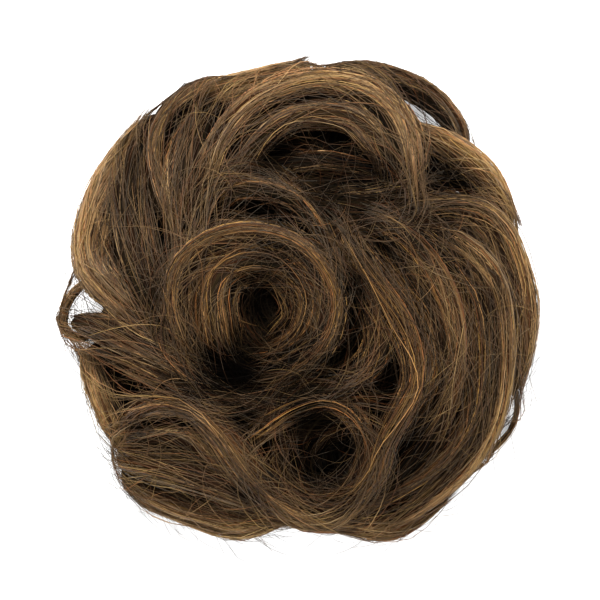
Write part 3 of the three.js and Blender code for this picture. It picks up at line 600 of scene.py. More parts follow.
class LockForm:
    """The surface of one lock, worked out from its route, for its body and its strands to lie on."""

    SECTIONS = 260

    def __init__(self, lock: Lock, rng: np.random.Generator) -> None:
        """Carries the lock's sections along a smooth route under the crown.

        Args:
            lock: The lock's row in the table.
            rng: The source of this lock's own ridges.
        """
        self.lock = lock
        x, y, sink, half = np.array(lock.route, float).T
        widest = half.max()
        z = crown_height(x, y) - sink * BUN_HEIGHT - lock.thickness / 2 * np.sqrt(half / widest)
        rows = smooth_route(np.stack([x * BUN_RADIUS, y * BUN_RADIUS, z, half], -1), self.SECTIONS)
        self.middle = rows[:, :3]
        self.half_width = np.maximum(rows[:, 3], 0.01) * BUN_RADIUS
        depth = lock.thickness / 2 * np.sqrt(np.maximum(rows[:, 3], 0.01) / widest)
        self.half_depth = np.minimum(depth, self.half_width * 1.6)
        self.tangent = unit(np.gradient(self.middle, axis=0))
        normal = crown_normal(self.middle[:, 0] / BUN_RADIUS, self.middle[:, 1] / BUN_RADIUS)
        self.normal = unit(normal - (normal * self.tangent).sum(-1, keepdims=True) * self.tangent)
        self.across = np.cross(self.normal, self.tangent)
        self.middle = self.middle + lock.lean * self.half_width[:, None] * self.across
        steps = np.linalg.norm(np.diff(self.middle, axis=0), axis=1)
        self.distance = np.concatenate([[0.0], np.cumsum(steps)])
        bends = np.arccos(np.clip((self.tangent[1:] * self.tangent[:-1]).sum(-1), -1, 1))
        self.strand_steps = 3 + round(max(self.length / STRAND_STEP, bends.sum() / STRAND_TURN))
        self.ridge_phase = rng.uniform(0, 2 * math.pi, 4)

    @property
    def length(self) -> float:
        """The lock's length along its middle."""
        return float(self.distance[-1])

    @property
    def girth(self) -> float:
        """Half the way round the lock's section, on average: half an ellipse's perimeter."""
        return float(math.pi * np.sqrt((self.half_width**2 + self.half_depth**2) / 2).mean())

    def section(self, values: np.ndarray, share: np.ndarray) -> np.ndarray:
        """Values kept for each section, read at shares of the length by mixing the two nearest."""
        place = np.clip(np.interp(share * self.length, self.distance, np.arange(self.SECTIONS)), 0, None)
        low = np.minimum(place.astype(int), self.SECTIONS - 2)
        w = place - low
        w = w[..., None] if values.ndim == 2 else w
        return values[low] * (1 - w) + values[low + 1] * w

    def ridges(self, turn: np.ndarray, share: np.ndarray) -> np.ndarray:
        """How far the clumps stand out: one, and sines round the section that drift slowly along the lock."""
        p = self.ridge_phase
        swell = 0.05 * np.sin(3 * turn + p[0] + 4 * share)
        swell += 0.045 * np.sin(7 * turn + p[1] - 5 * share) + 0.03 * np.sin(13 * turn + p[2] + 4 * share)
        return 1 + swell

    def place(self, turn: np.ndarray, share: np.ndarray, reach: np.ndarray) -> np.ndarray:
        """A point of the lock: its middle, plus its two half axes by the cosine and sine of a turn."""
        up = np.sin(turn)
        up = up * np.where(up < 0, UNDERSIDE, 1.0) * self.section(self.half_depth, share) * reach
        out = np.cos(turn) * self.section(self.half_width, share) * reach
        beyond = (share - np.clip(share, 0, 1)) * self.length
        centre = self.section(self.middle, share) + beyond[..., None] * self.section(self.tangent, share)
        return (
            centre
            + out[..., None] * self.section(self.across, share)
            + up[..., None] * self.section(self.normal, share)
        )

    def top_samples(self) -> tuple[np.ndarray, np.ndarray]:
        """Points all over the lock's upper side, and the lock's direction at each."""
        share = np.linspace(0, 1, max(24, round(self.length / MM)))[:, None]
        turn, share = np.broadcast_arrays(np.linspace(0.1, math.pi - 0.1, 24)[None, :], share)
        points = self.place(turn, share, self.ridges(turn, share))
        return points.reshape(-1, 3) + CENTRE, self.section(self.tangent, share).reshape(-1, 3)


@dataclass
class LockDresser:
    """Makes a lock's body and its strands, and adds them to a mesh."""

    form: LockForm
    field: "FlowField"
    rng: np.random.Generator
    mesh: HairMesh
    body_sides: int = 26
    BODY_SHADE = 0.24  # painted shade: how much darker the body is than its strands, as the shade in the gaps between them
    WISP_WIDTH = 1.4 * MM  # what each wisp has of half the way round the lock
    WISP_SPREAD = 0.17  # the turn that a wisp's strands spread over
    UPPER_SHARE = 0.88  # of the wisps, those that lie on the upper side
    TONE_SPREAD = 0.15  # how far strands differ in tone
    LIT_SHARE, LIT_TONE = 0.08, 0.27  # the strands given a painted highlight, as if they caught the light, and the tone that they gain
    BURIED = 3 * MM  # a strand under this much hair all along is left out

    def tone_of(self, turn: np.ndarray, share: np.ndarray) -> np.ndarray:
        """The lock's tone with painted light and shade: a painted highlight along its crest, and painted
        shade down its sides and towards its ends.
        """
        lock = self.form.lock
        # Painted highlight on the crest and painted shade down the sides, by the turn round the section.
        crest = 0.17 * np.sin(turn) - 0.1
        end = np.clip(np.minimum(share, 1 - share) * 5, 0, 1)
        return BASE_TONE[lock.shade] + lock.light + crest - 0.16 * (1 - end)

    def build(self) -> None:
        """Adds the body, and as many strands as the lock's density gives for its girth."""
        self.add_body()
        self.add_strands(round(self.form.lock.density * self.form.girth / MM))

    def add_body(self) -> None:
        """Adds the lock's body: its section swept along its route, ridged, with rounded ends."""
        form = self.form
        rings = max(12, round(form.length / (2.8 * MM)))
        even = np.linspace(0, 1, rings)
        share = (even - 0.12 * np.sin(2 * math.pi * even))[:, None]
        turn = (2 * math.pi * np.arange(self.body_sides) / self.body_sides - math.pi / 2)[None, :]
        ends = np.minimum(share, 1 - share) * form.length
        rounding = form.section(form.half_depth, share)
        cap = np.sqrt(np.maximum(0.02, 1 - (1 - np.clip(ends / rounding, 0, 1)) ** 2))
        reach = form.lock.fullness * cap * form.ridges(turn, share)
        turn, share = np.broadcast_arrays(turn, share)
        points = form.place(turn, share, reach) + CENTRE
        around = (turn + math.pi / 2) * form.girth / math.pi
        # The body's tone is painted darker than its strands, as shade, and takes the field's painted light
        # and shade.
        tone = self.tone_of(turn, share) + self.field.painted_light_and_shade(points) - self.BODY_SHADE
        self.mesh.add_tubes(points[None], around[None], share[None] * form.length, tone[None], matt=True)

    def add_strands(self, count: int) -> None:
        """Adds the lock's strands, gathered in wisps.

        A wisp holds its turn round the section with a slow drift and stands a little in or out of the lock,
        and its strands keep their places across it. A few strands are loose: they wander further and stand
        off. At the lock's ends the strands spread, and those that other locks bury all the way are left
        out.

        Args:
            count: How many.
        """
        form, rng, steps = self.form, self.rng, self.form.strand_steps
        even = np.linspace(0, 1, steps)[None, :]
        first, last = rng.uniform(-0.03, 0.12, (count, 1)), rng.uniform(0.88, 1.05, (count, 1))
        share = first + (last - first) * even
        tip = np.clip(np.abs(share - 0.5) * 2 - 0.6, 0, 1) ** 2
        wisps = max(7, round(form.girth / self.WISP_WIDTH))
        over = rng.uniform(-0.55, math.pi + 0.55, (wisps, 1))
        under = rng.uniform(math.pi, 2 * math.pi, (wisps, 1))
        middle = np.where(rng.uniform(size=(wisps, 1)) < self.UPPER_SHARE, over, under)
        middle = middle + 0.15 * wander(rng, wisps, steps, 1.0)
        lift = rng.uniform(-0.07, 0.07, (wisps, 1)) + 0.05 * wander(rng, wisps, steps, 1.3)
        breadth = self.WISP_SPREAD * (1.15 + 0.6 * wander(rng, wisps, steps, 0.9))
        wisp_tone = rng.normal(0, 0.08, (wisps, 1)) + 0.05 * wander(rng, wisps, steps, 1.0)
        wisp = rng.integers(0, wisps, count)
        aside = rng.normal(0, 1, (count, 1))
        turn = middle[wisp] + aside * breadth[wisp] + 0.035 * wander(rng, count, steps, 1.4)
        reach = min(1.0, form.lock.fullness + 0.06) * form.ridges(turn, share)
        reach = reach + lift[wisp] - 0.03 * aside**2 * breadth[wisp] / self.WISP_SPREAD
        reach = reach + rng.uniform(-0.03, 0.03, (count, 1)) + rng.uniform(-0.6, 3.2, (count, 1)) * tip
        loose = rng.uniform(size=(count, 1)) < form.lock.looseness
        turn = turn + np.where(loose, 0.4 * wander(rng, count, steps, 1.3), 0)
        stray = rng.uniform(0.0, 0.22, (count, 1)) * (1 + wander(rng, count, steps, 1.1))
        reach = reach + np.where(loose, stray, 0)
        paths = form.place(turn, share, reach) + CENTRE
        paths[..., 2] = np.maximum(paths[..., 2], 1.3 * STRAND_RADIUS)
        buried = self.field.cover(paths).min(axis=1) > self.BURIED
        inside = np.linalg.norm(paths[..., :2] - CENTRE[:2], axis=-1).max(axis=1) < 0.78 * BUN_RADIUS
        radius = STRAND_RADIUS * rng.uniform(0.75, 1.25, count)
        shaded = half_in_light(rng, count)
        # The strand's tone: the lock's painted crest highlight and side shade, its wisp's own tone, and the
        # field's painted light and shade, which a share of the strands take more deeply.
        tone = self.tone_of(turn, share) + wisp_tone[wisp] + self.field.painted_light_and_shade(paths, shaded)
        mean = tone.mean(axis=1, keepdims=True)
        tone = tone + rng.normal(0, self.TONE_SPREAD, (count, 1)) * np.clip(3.2 - 4.2 * mean, 0.4, 1.6)
        # A few strands get a painted highlight, stronger where the lock is lighter.
        lit = rng.uniform(size=(count, 1)) < self.LIT_SHARE
        tone = tone + np.where(lit, self.LIT_TONE, 0.0) * np.clip(2 * mean, 0.2, 1)
        rings = strand_rings(paths, radius, form.section(form.normal, share))
        lane = rng.uniform(0, LANES, (count, 1, 1))
        kept = ~(buried & inside)
        along = (share * form.length)[kept, :, None]
        self.mesh.add_tubes(rings[kept], lane[kept], along, tone[kept, :, None])


class NodeTools:
    """Helpers that lay out shader nodes. An input is given a socket, which is linked, or a constant."""

    def __init__(self, tree: bpy.types.NodeTree) -> None:
        """Keeps the tree that the nodes go into."""
        self.tree = tree

    def give(self, target: bpy.types.NodeSocket, value: object) -> None:
        """Links a socket to an input, or sets the input to a constant."""
        if isinstance(value, bpy.types.NodeSocket):
            self.tree.links.new(value, target)
        else:
            target.default_value = value

    def fill(self, node: bpy.types.Node, **values: object) -> bpy.types.Node:
        """Gives a node its own settings and its named inputs, and returns it."""
        for name, value in values.items():
            if hasattr(node, name):
                setattr(node, name, value)
            else:
                self.give(node.inputs[name.replace("_", " ")], value)
        return node

    def add(self, kind: str, **values: object) -> bpy.types.Node:
        """A new node of a kind, filled."""
        return self.fill(self.tree.nodes.new(kind), **values)

    def math(self, operation: str, *terms: object) -> bpy.types.NodeSocket:
        """What an operation makes of its terms."""
        node = self.add("ShaderNodeMath", operation=operation)
        for target, term in zip(node.inputs, terms):
            self.give(target, term)
        return node.outputs[0]

    def noise(self, place: bpy.types.NodeSocket, **values: object) -> bpy.types.NodeSocket:
        """A noise, read at a place."""
        return self.add("ShaderNodeTexNoise", Vector=place, **values).outputs[0]

    def ramp(self, source: bpy.types.NodeSocket, stops: tuple[Stop, ...]) -> bpy.types.NodeSocket:
        """The colour that a source picks from a ramp with these stops."""
        node = self.add("ShaderNodeValToRGB", Fac=source)
        elements = node.color_ramp.elements
        elements[0].position, elements[0].color = stops[0]
        elements[1].position, elements[1].color = stops[-1]
        for at, colour in stops[1:-1]:
            elements.new(at).color = colour
        return node.outputs["Color"]

    def bump(self, height: bpy.types.NodeSocket, strength: float, distance: float) -> bpy.types.NodeSocket:
        """The normal that a height gives."""
        bump = self.add("ShaderNodeBump", Strength=strength, Distance=distance, Height=height)
        return bump.outputs["Normal"]


def new_material(name: str) -> tuple[bpy.types.Material, NodeTools, bpy.types.Node]:
    """A material, the helpers that lay out its nodes, and its shader."""
    made = bpy.data.materials.new(name)
    made.use_nodes = True
    return made, NodeTools(made.node_tree), made.node_tree.nodes["Principled BSDF"]


def linear(red: int, green: int, blue: int) -> Colour:
    """A screen colour, 0 to 255, as the light it stands for."""
    values = [c / 255 for c in (red, green, blue)]
    return tuple(c / 12.92 if c <= 0.04045 else ((c + 0.055) / 1.055) ** 2.4 for c in values) + (1.0,)


def strand_group() -> bpy.types.NodeTree:
    """The node group that all the hair shares: streaks that run along the strands.

    The sheet's across coordinate is stretched fine and its along coordinate coarse, so that a noise gives
    long thin streaks on a body and a slow change of tone down a single strand.

    Returns:
        The group, with inputs Tone, Streaks and Fineness and outputs Tone, Height and Tint.
    """
    group = bpy.data.node_groups.new("hair_streaks", "ShaderNodeTree")
    for name, value in (("Tone", 0.5), ("Streaks", 0.3), ("Fineness", 2800.0)):
        socket = group.interface.new_socket(name=name, in_out="INPUT", socket_type="NodeSocketFloat")
        socket.default_value = value
    for name in ("Tone", "Height", "Tint"):
        group.interface.new_socket(name=name, in_out="OUTPUT", socket_type="NodeSocketFloat")
    tools = NodeTools(group)
    given = tools.add("NodeGroupInput").outputs
    sheet = tools.add("ShaderNodeUVMap", uv_map="sheet").outputs["UV"]
    parts = tools.add("ShaderNodeSeparateXYZ", Vector=sheet).outputs
    layers = []
    for index, (fine, coarse, weight) in enumerate(STREAK_LAYERS):
        wide = tools.math("MULTIPLY", parts["X"], tools.math("MULTIPLY", given["Fineness"], fine))
        long = tools.math("MULTIPLY", parts["Y"], coarse)
        place = tools.add("ShaderNodeCombineXYZ", X=wide, Y=long, Z=3.7 * index).outputs[0]
        noise = tools.noise(place, noise_dimensions="3D", Scale=1.0, Detail=2.0, Roughness=0.6)
        layers.append(tools.math("MULTIPLY", noise, weight))
    height = tools.math("ADD", *layers)
    tone = tools.math("MULTIPLY_ADD", tools.math("SUBTRACT", height, 0.5), given["Streaks"], given["Tone"])
    stretch = tools.add("ShaderNodeVectorMath", operation="MULTIPLY")
    tools.give(stretch.inputs[0], sheet)
    tools.give(stretch.inputs[1], TINT_STRETCH)
    tint = tools.noise(stretch.outputs[0], noise_dimensions="2D", Scale=1.0, Detail=1.0, Roughness=0.5)
    tools.add("NodeGroupOutput", Tone=tone, Height=height, Tint=tint)
    return group


@dataclass(frozen=True)
class HairFinish:
    """False hair whose colour is read from a ramp by tone, and varied a little from strand to strand."""

    name: str
    warmth: float
    roughness: float
    streaks: float = 0.85
    gloss: float = 0.3

    def stops(self) -> list[tuple[float, Colour]]:
        """The colours from the darkest tone to the lightest; warmth moves green and blue down."""
        green, blue = 1 - 0.04 * self.warmth, 1 - 0.105 * self.warmth
        return [(at, linear(r, round(g * green), round(b * blue))) for at, (r, g, b) in HAIR_COLOURS]

    def material(self, streaks: bpy.types.NodeTree) -> bpy.types.Material:
        """The finish as a material.

        Args:
            streaks: The node group of streaks along the strands.

        Returns:
            The material.
        """
        made, tools, shader = new_material(self.name)
        tone = tools.add("ShaderNodeAttribute", attribute_name="tone", attribute_type="GEOMETRY")
        tone = tone.outputs["Fac"]
        group = tools.add("ShaderNodeGroup", node_tree=streaks, Streaks=self.streaks, Tone=tone).outputs
        blend = tools.add("ShaderNodeMix", data_type="RGBA", blend_type="MULTIPLY", Factor=0.95)
        base, tint = [socket for socket in blend.inputs if socket.type == "RGBA"]
        tools.give(base, tools.ramp(group["Tone"], self.stops()))
        tools.give(tint, tools.ramp(group["Tint"], HAIR_TINTS))
        tools.fill(
            shader,
            Base_Color=blend.outputs["Result"],
            Normal=tools.bump(group["Height"], 0.5, 0.25 * MM),
            Roughness=self.roughness,
            Specular_IOR_Level=self.gloss,
            Specular_Tint=(1.0, 0.86, 0.66, 1.0),
        )
        return made


@dataclass(frozen=True)
class ClothFinish:
    """Matt black thread, knitted or woven, with a fine bump."""

    name: str
    colour: tuple[int, int, int]
    threads: float

    def material(self) -> bpy.types.Material:
        """The finish as a material: a noise in object space lifts the threads and varies their tone."""
        made, tools, shader = new_material(self.name)
        place = tools.add("ShaderNodeTexCoord").outputs["Object"]
        noise = tools.noise(place, Scale=self.threads, Detail=3.0, Roughness=0.7)
        dark, light = [linear(*(round(c * k) for c in self.colour)) for k in (0.5, 1.7)]
        tools.fill(
            shader,
            Base_Color=tools.ramp(noise, ((0.3, dark), (0.75, light))),
            Normal=tools.bump(noise, 0.6, 0.2 * MM),
            Roughness=0.85,
            Sheen_Weight=0.15,
        )
        return made


@dataclass
class Materials:
    """Every finish, made once."""

    hair: dict[tuple[Shade, Cast], bpy.types.Material]
    # The matt copy of the hair, with no shine: for the hair under the strands and for the hair in painted
    # shade.
    under: bpy.types.Material
    loose: bpy.types.Material
    elastic: bpy.types.Material
    weft: bpy.types.Material

    @classmethod
    def make(cls) -> "Materials":
        """Makes the node group and the finishes."""
        streaks = strand_group()
        hair = {}
        for shade, (roughness, gloss) in SHINE.items():
            for cast in Cast:
                name = f"{cast.name.lower()}_{shade.name.lower()}_hair"
                hair[shade, cast] = HairFinish(name, cast.value, roughness, gloss=gloss).material(streaks)
        return cls(
            hair=hair,
            under=HairFinish("under_hair", 0.6, 0.85, streaks=1.2, gloss=0.0).material(streaks),
            loose=HairFinish("loose_hair", 0.0, 0.42).material(streaks),
            elastic=ClothFinish("black_elastic", (24, 24, 27), 2600.0).material(),
            weft=ClothFinish("black_weft_tape", (28, 25, 27), 1900.0).material(),
        )


def spread(grid: np.ndarray, size: int, how: str) -> np.ndarray:
    """Each cell's highest, lowest or mean value over a square of cells about it.

    Args:
        grid: Values by two places, and any more axes after them.
        size: The square's side in cells, an odd number.
        how: The name of the array method that joins the values: max, min or mean.

    Returns:
        A grid of the same shape.
    """
    border = [(size // 2, size // 2)] * 2 + [(0, 0)] * (grid.ndim - 2)
    padded = np.pad(grid, border, mode="edge")
    windows = np.lib.stride_tricks.sliding_window_view(padded, (size, size), axis=(0, 1))
    return getattr(windows, how)(axis=(-1, -2))


@dataclass
class FlowField:
    """What shows from above on a square grid: the height, the way the hair runs and its tone.

    The way is kept as the cosine and sine of twice its angle, so that hair running one way or the other
    counts as the same.
    """

    cell: float = 1.25 * MM
    reach: float = 90 * MM
    heights: np.ndarray = field(init=False)
    ways: np.ndarray = field(init=False)
    tones: np.ndarray = field(init=False)
    level: np.ndarray = field(init=False)
    rim: np.ndarray = field(init=False)
    RIM_BINS = 120
    CREST_GAIN, COVER_LOSS, EDGE_GAIN = 0.1, 0.26, 0.1  # painted highlight on crests and painted shade in hollows, painted shade under other hair, and painted light through the rim, in tone
    DARKEST = 0.75  # the most painted shade that the listed patches take together
    TURN_SHARE = 0.35  # how far a loose hair's heading turns to the flow's at a step
    RIM_MARGIN = 1.2 * MM  # how far inside the rim it stays
    FALL = 0.55  # the steepest slope that it drops into a hollow by

    def __post_init__(self) -> None:
        """Starts the grid at the floor."""
        size = int(2 * self.reach / self.cell) + 1
        self.heights = np.zeros((size, size))
        self.ways = np.zeros((size, size, 2))
        self.tones = np.zeros((size, size))

    def take(self, points: np.ndarray, tangents: np.ndarray, tone: float) -> None:
        """Takes in a lock: each cell keeps what lies highest in it.

        Args:
            points: Places on the lock's upper side.
            tangents: The lock's direction at each.
            tone: The lock's tone.
        """
        cells = np.clip(((points[:, :2] + self.reach) / self.cell).astype(int), 0, len(self.heights) - 1)
        higher = points[:, 2] > self.heights[cells[:, 0], cells[:, 1]]
        points, tangents, cells = points[higher], tangents[higher], cells[higher]
        order = np.argsort(points[:, 2])
        row, column = cells[order].T
        angle = 2 * np.arctan2(tangents[order, 1], tangents[order, 0])
        self.heights[row, column] = points[order, 2]
        self.ways[row, column] = np.stack([np.cos(angle), np.sin(angle)], -1)
        self.tones[row, column] = tone

    def settle(self) -> None:
        """Closes slits between locks in the height, and mixes ways and tones with their neighbours'."""
        row, column = np.nonzero(self.heights > 5 * MM)
        x, y = ((k + 0.5) * self.cell - self.reach - middle for k, middle in zip((row, column), CENTRE))
        self.rim = np.zeros(self.RIM_BINS)
        bins = ((np.arctan2(y, x) / (2 * math.pi)) % 1 * self.RIM_BINS).astype(int)
        np.maximum.at(self.rim, bins, np.hypot(x, y))
        self.level = spread(self.heights, 19, "mean")
        closed = spread(spread(self.heights, 3, "max"), 3, "min")
        self.heights = spread(closed, 3, "mean")
        for _ in range(3):
            self.ways = spread(self.ways, 3, "mean")
        self.tones = spread(self.tones, 5, "mean")

    def rim_at(self, angle: np.ndarray) -> np.ndarray:
        """How far out the hair reaches at an angle about the loop's axis."""
        middles = (np.arange(self.RIM_BINS) + 0.5) / self.RIM_BINS * 2 * math.pi
        return np.interp(angle, middles, self.rim, period=2 * math.pi)

    def painted_light_and_shade(self, points: np.ndarray, shaded: np.ndarray | float = 1.0) -> np.ndarray:
        """The painted light and shade at a point: the tone that it gains on a crest and loses in a hollow or
        under other hair.

        A crest or hollow is the point's height against the mean round it, cover is the depth of hair over
        it, and each listed patch takes its depth away as painted shade, or adds painted light where its depth
        is below nought, fading as a bell curve to its radius. The thin hair at the rim is painted lighter,
        for the light that comes through it.

        Args:
            points: Places by any axes and coordinate.
            shaded: How much of a patch's painted shade or light each place takes, broadcast to them.

        Returns:
            The tone to add at each place, which is painted light and shade.
        """
        relief = np.clip((points[..., 2] - self.read(self.level, points)) / (9 * MM), -1.6, 1)
        deep = np.clip((self.cover(points) - 1.2 * MM) / (7 * MM), 0, 1)
        share = (points[..., :2] - CENTRE[:2]) / BUN_RADIUS
        shade = np.zeros(share.shape[:-1])
        for x, y, radius, depth in PAINTED_SHADE_AND_LIGHT:
            away = ((share[..., 0] - x) ** 2 + (share[..., 1] - y) ** 2) / radius**2
            shade += depth * np.exp(-away)
        way_out = np.linalg.norm(share, axis=-1) * BUN_RADIUS
        rim = self.rim_at(np.arctan2(share[..., 1], share[..., 0]))
        edge = np.clip((way_out / rim - 0.88) / 0.1, 0, 1)
        shade = np.minimum(shade, self.DARKEST) * shaded
        return self.CREST_GAIN * relief - self.COVER_LOSS * deep - shade + self.EDGE_GAIN * edge

    def cover(self, points: np.ndarray) -> np.ndarray:
        """How deep points lie under the highest hair above them."""
        return self.read(self.heights, points) - points[..., 2]

    def read(self, grid: np.ndarray, places: np.ndarray) -> np.ndarray:
        """A grid's values at places, mixed from the four cells about each."""
        at = np.clip((places[..., :2] + self.reach) / self.cell - 0.5, 0, len(grid) - 2.001)
        low = at.astype(int)
        w = at - low
        w = w if grid.ndim == 2 else w[..., None, :]
        i, j = low[..., 0], low[..., 1]
        near = grid[i, j] * (1 - w[..., 0]) + grid[i + 1, j] * w[..., 0]
        far = grid[i, j + 1] * (1 - w[..., 0]) + grid[i + 1, j + 1] * w[..., 0]
        return near * (1 - w[..., 1]) + far * w[..., 1]

    def follow(
        self, start: np.ndarray, heading: np.ndarray, offset: np.ndarray, bend: np.ndarray, step: np.ndarray
    ) -> np.ndarray:
        """Walks over the grid with the hair's flow.

        At each step the heading turns part of the way to the flow's own plus an offset, and by a bend.

        Args:
            start: Where each path starts, in x and y.
            heading: The first heading of each.
            offset: The angle that each keeps to the flow, at each step.
            bend: How far each turns by itself at a step.
            step: How long each one's steps are.

        Returns:
            Places by path, step and coordinate.
        """
        place, walked = start.copy(), []
        for aside in offset.T:
            walked.append(place.copy())
            way = self.read(self.ways, place)
            flow = np.arctan2(way[:, 1], way[:, 0]) / 2 + aside
            flow = flow + math.pi * np.round((heading - flow) / math.pi)
            heading = heading + self.TURN_SHARE * (flow - heading) + bend
            place = place + step[:, None] * np.stack([np.cos(heading), np.sin(heading)], -1)
            from_middle = place - CENTRE[:2]
            out = np.linalg.norm(from_middle, axis=-1)
            limit = self.rim_at(np.arctan2(from_middle[:, 1], from_middle[:, 0])) - self.RIM_MARGIN
            place = CENTRE[:2] + from_middle * np.minimum(1, limit / out)[:, None]
        return np.stack(walked, axis=1)

    def drape(self, flat: np.ndarray, step: np.ndarray) -> np.ndarray:
        """Heights for paths that lie on the hair and bridge its hollows, falling no steeper than a slope."""
        height = self.read(self.heights, flat)
        drop = self.FALL * step
        last = flat.shape[1] - 1
        for k in range(1, last + 1):
            height[:, k] = np.maximum(height[:, k], height[:, k - 1] - drop)
        for k in range(last - 1, -1, -1):
            height[:, k] = np.maximum(height[:, k], height[:, k + 1] - drop)
        for _ in range(2):
            padded = np.pad(height, ((0, 0), (1, 1)), mode="edge")
            height = np.maximum(height, (padded[:, :-2] + padded[:, 2:]) / 2)
        return height


@dataclass
class LockPieces:
    """All the locks, each a piece that stands for its own solid."""

    materials: Materials
    field: FlowField
    rng: np.random.Generator
    forms: list[LockForm] = field(init=False)

    def __post_init__(self) -> None:
        """Works out each lock's surface and lays it on the field."""
        self.forms = [LockForm(lock, self.rng) for lock in LOCKS]
        for form in self.forms:
            self.field.take(*form.top_samples(), BASE_TONE[form.lock.shade] + form.lock.light)

    def build(self) -> None:
        """Builds each lock's body and strands as one piece."""
        for form in self.forms:
            lock, mesh = form.lock, HairMesh()
            LockDresser(form, self.field, self.rng, mesh).build()
            finish = self.materials.hair[lock.shade, lock.cast]
            made = mesh.to_object(f"{lock.name}_hair", finish, self.materials.under)
            finish_piece(made, lock.name)


@dataclass
class BedPiece:
    """The bed of hair: a domed puck with a hollow under it, looped locks at its rim and short hair."""

    materials: Materials
    field: FlowField
    rng: np.random.Generator
    sides: int = 96
    lift: float = 0.7 * MM
    swirl_hairs: int = 1050
    underside_hairs: int = 360
    ceiling_hairs: int = 90
    forms: list[LockForm] = field(init=False)
    mesh: HairMesh = field(default_factory=HairMesh)

    def __post_init__(self) -> None:
        """Works out the skirt's surface and lays it on the field."""
        locks = [self.skirt_lock(*row, number + 1) for number, row in enumerate(SKIRT_LOOPS)]
        self.forms = [LockForm(lock, self.rng) for lock in locks]
        for form in self.forms:
            self.field.take(*form.top_samples(), BASE_TONE[Shade.UMBER])

    def skirt_lock(self, first: float, last: float, reach: float, number: int) -> Lock:
        """A looped lock that runs out from the weft, round and back.

        Args:
            first: The angle where it leaves, in degrees.
            last: The angle where it comes back.
            reach: How far out it goes, in bun radii.
            number: Its number, for its name.

        Returns:
            The lock.
        """
        share = np.linspace(0, 1, 7)
        bulge = np.sin(math.pi * share) ** 0.7
        angle = np.radians(first + (last - first) * share)
        out = SKIRT_FOOT + (reach - SKIRT_HALF_WIDTH - SKIRT_FOOT) * bulge
        x, y = out * np.cos(angle), out * np.sin(angle)
        sink = (crown_height(x, y) - SKIRT_THICKNESS * 0.95) / BUN_HEIGHT
        rows = np.stack([x, y, sink, SKIRT_HALF_WIDTH * (0.45 + 0.55 * bulge)], -1)
        route = tuple(tuple(float(v) for v in row) for row in rows)
        return Lock(f"skirt_{number}", Shade.UMBER, SKIRT_THICKNESS, route, density=3.8, fullness=1.1)

    def profile(self) -> np.ndarray:
        """Radius and height round the bed's section, from its top down outside, under, and up the hollow."""
        share = np.array([0.0, 0.2, 0.45, 0.7, 0.92])
        top = self.top_height(share * BED_RADIUS)
        shoulder = float(self.top_height(np.array(BED_RADIUS)))
        rows = list(zip(share * BED_RADIUS, top))
        rows += [
            (BED_RADIUS, shoulder * 0.8),
            (BED_RADIUS, shoulder * 0.35),
            (BED_RADIUS * 0.92, self.lift),
            (MOUTH_RADIUS, self.lift),
            (MOUTH_RADIUS, WEFT_WIDTH + CLEARANCE),
            (HOLLOW_RADIUS, WEFT_WIDTH + 2 * CLEARANCE),
            (HOLLOW_RADIUS, HOLLOW_HEIGHT * 0.75),
            (HOLLOW_RADIUS * 0.7, HOLLOW_HEIGHT),
            (0.0, HOLLOW_HEIGHT),
        ]
        return np.array(rows)

    @staticmethod
    def top_height(radius: np.ndarray) -> np.ndarray:
        """The height of the bed's top: the crown's, less the depth that the bed lies under it."""
        return crown_height(radius / BUN_RADIUS, np.zeros_like(radius)) - BED_SINK

    @staticmethod
    def near_brim(radius: np.ndarray) -> np.ndarray:
        """How near a radius is to the bed's brim, over the last tenth of the way."""
        return np.clip((radius / BED_RADIUS - 0.9) / 0.1, 0, 1)

    def add_puck(self) -> None:
        """Adds the bed's body: its section's profile turned about the loop's axis.

        The profile's two ends are drawn in to a thin spindle on the axis, so that the body is one closed
        tube.
        """
        rows = self.profile()
        rows[[0, -1], 0] = 0.05 * MM
        turn = 2 * math.pi * np.arange(self.sides) / self.sides
        lobes = 1.05 + 0.012 * np.sin(11 * turn) + 0.008 * np.sin(23 * turn + 1)
        outside = np.arange(len(rows)) < 7
        radius = rows[:, :1] * np.where(outside[:, None], lobes, 1.0)
        points = polar(radius, turn, rows[:, 1:])[::-1]
        # Painted shade: the bed's body is near black and matt, as the deep shade under the locks.
        dark = np.full((1, 1, 1), 0.06)
        lanes = (turn * BED_RADIUS)[None, None]
        self.mesh.add_tubes(points[None], lanes, rows[::-1, :1][None], dark, matt=True)

    def add_swirl(self, count: int) -> None:
        """Adds the short hair over the bed's top: strands that swirl round the axis just over the bed."""
        rng, steps = self.rng, 14
        share = np.linspace(0, 1, steps)[None, :]
        start = rng.uniform(0.02, 0.98, (count, 1)) ** 0.6 * BED_RADIUS
        outwards = rng.normal(0, 9 * MM, (count, 1)) * share + 1.5 * MM * wander(rng, count, steps, 1)
        radius = np.clip(start + outwards, MM, BED_RADIUS)
        span = rng.uniform(18, 55, (count, 1)) * MM / np.maximum(start, 8 * MM)
        turn = rng.uniform(0, 2 * math.pi, (count, 1)) + rng.choice([-1, 1], (count, 1)) * span * share
        height = self.top_height(radius)
        height = height * (1 - 0.2 * self.near_brim(radius)) + rng.uniform(0.1, 3.0, (count, 1)) * MM
        paths = polar(radius, turn, height)
        self.add_paths(paths[self.field.cover(paths).min(axis=1) < 3.5 * MM], 0.36)

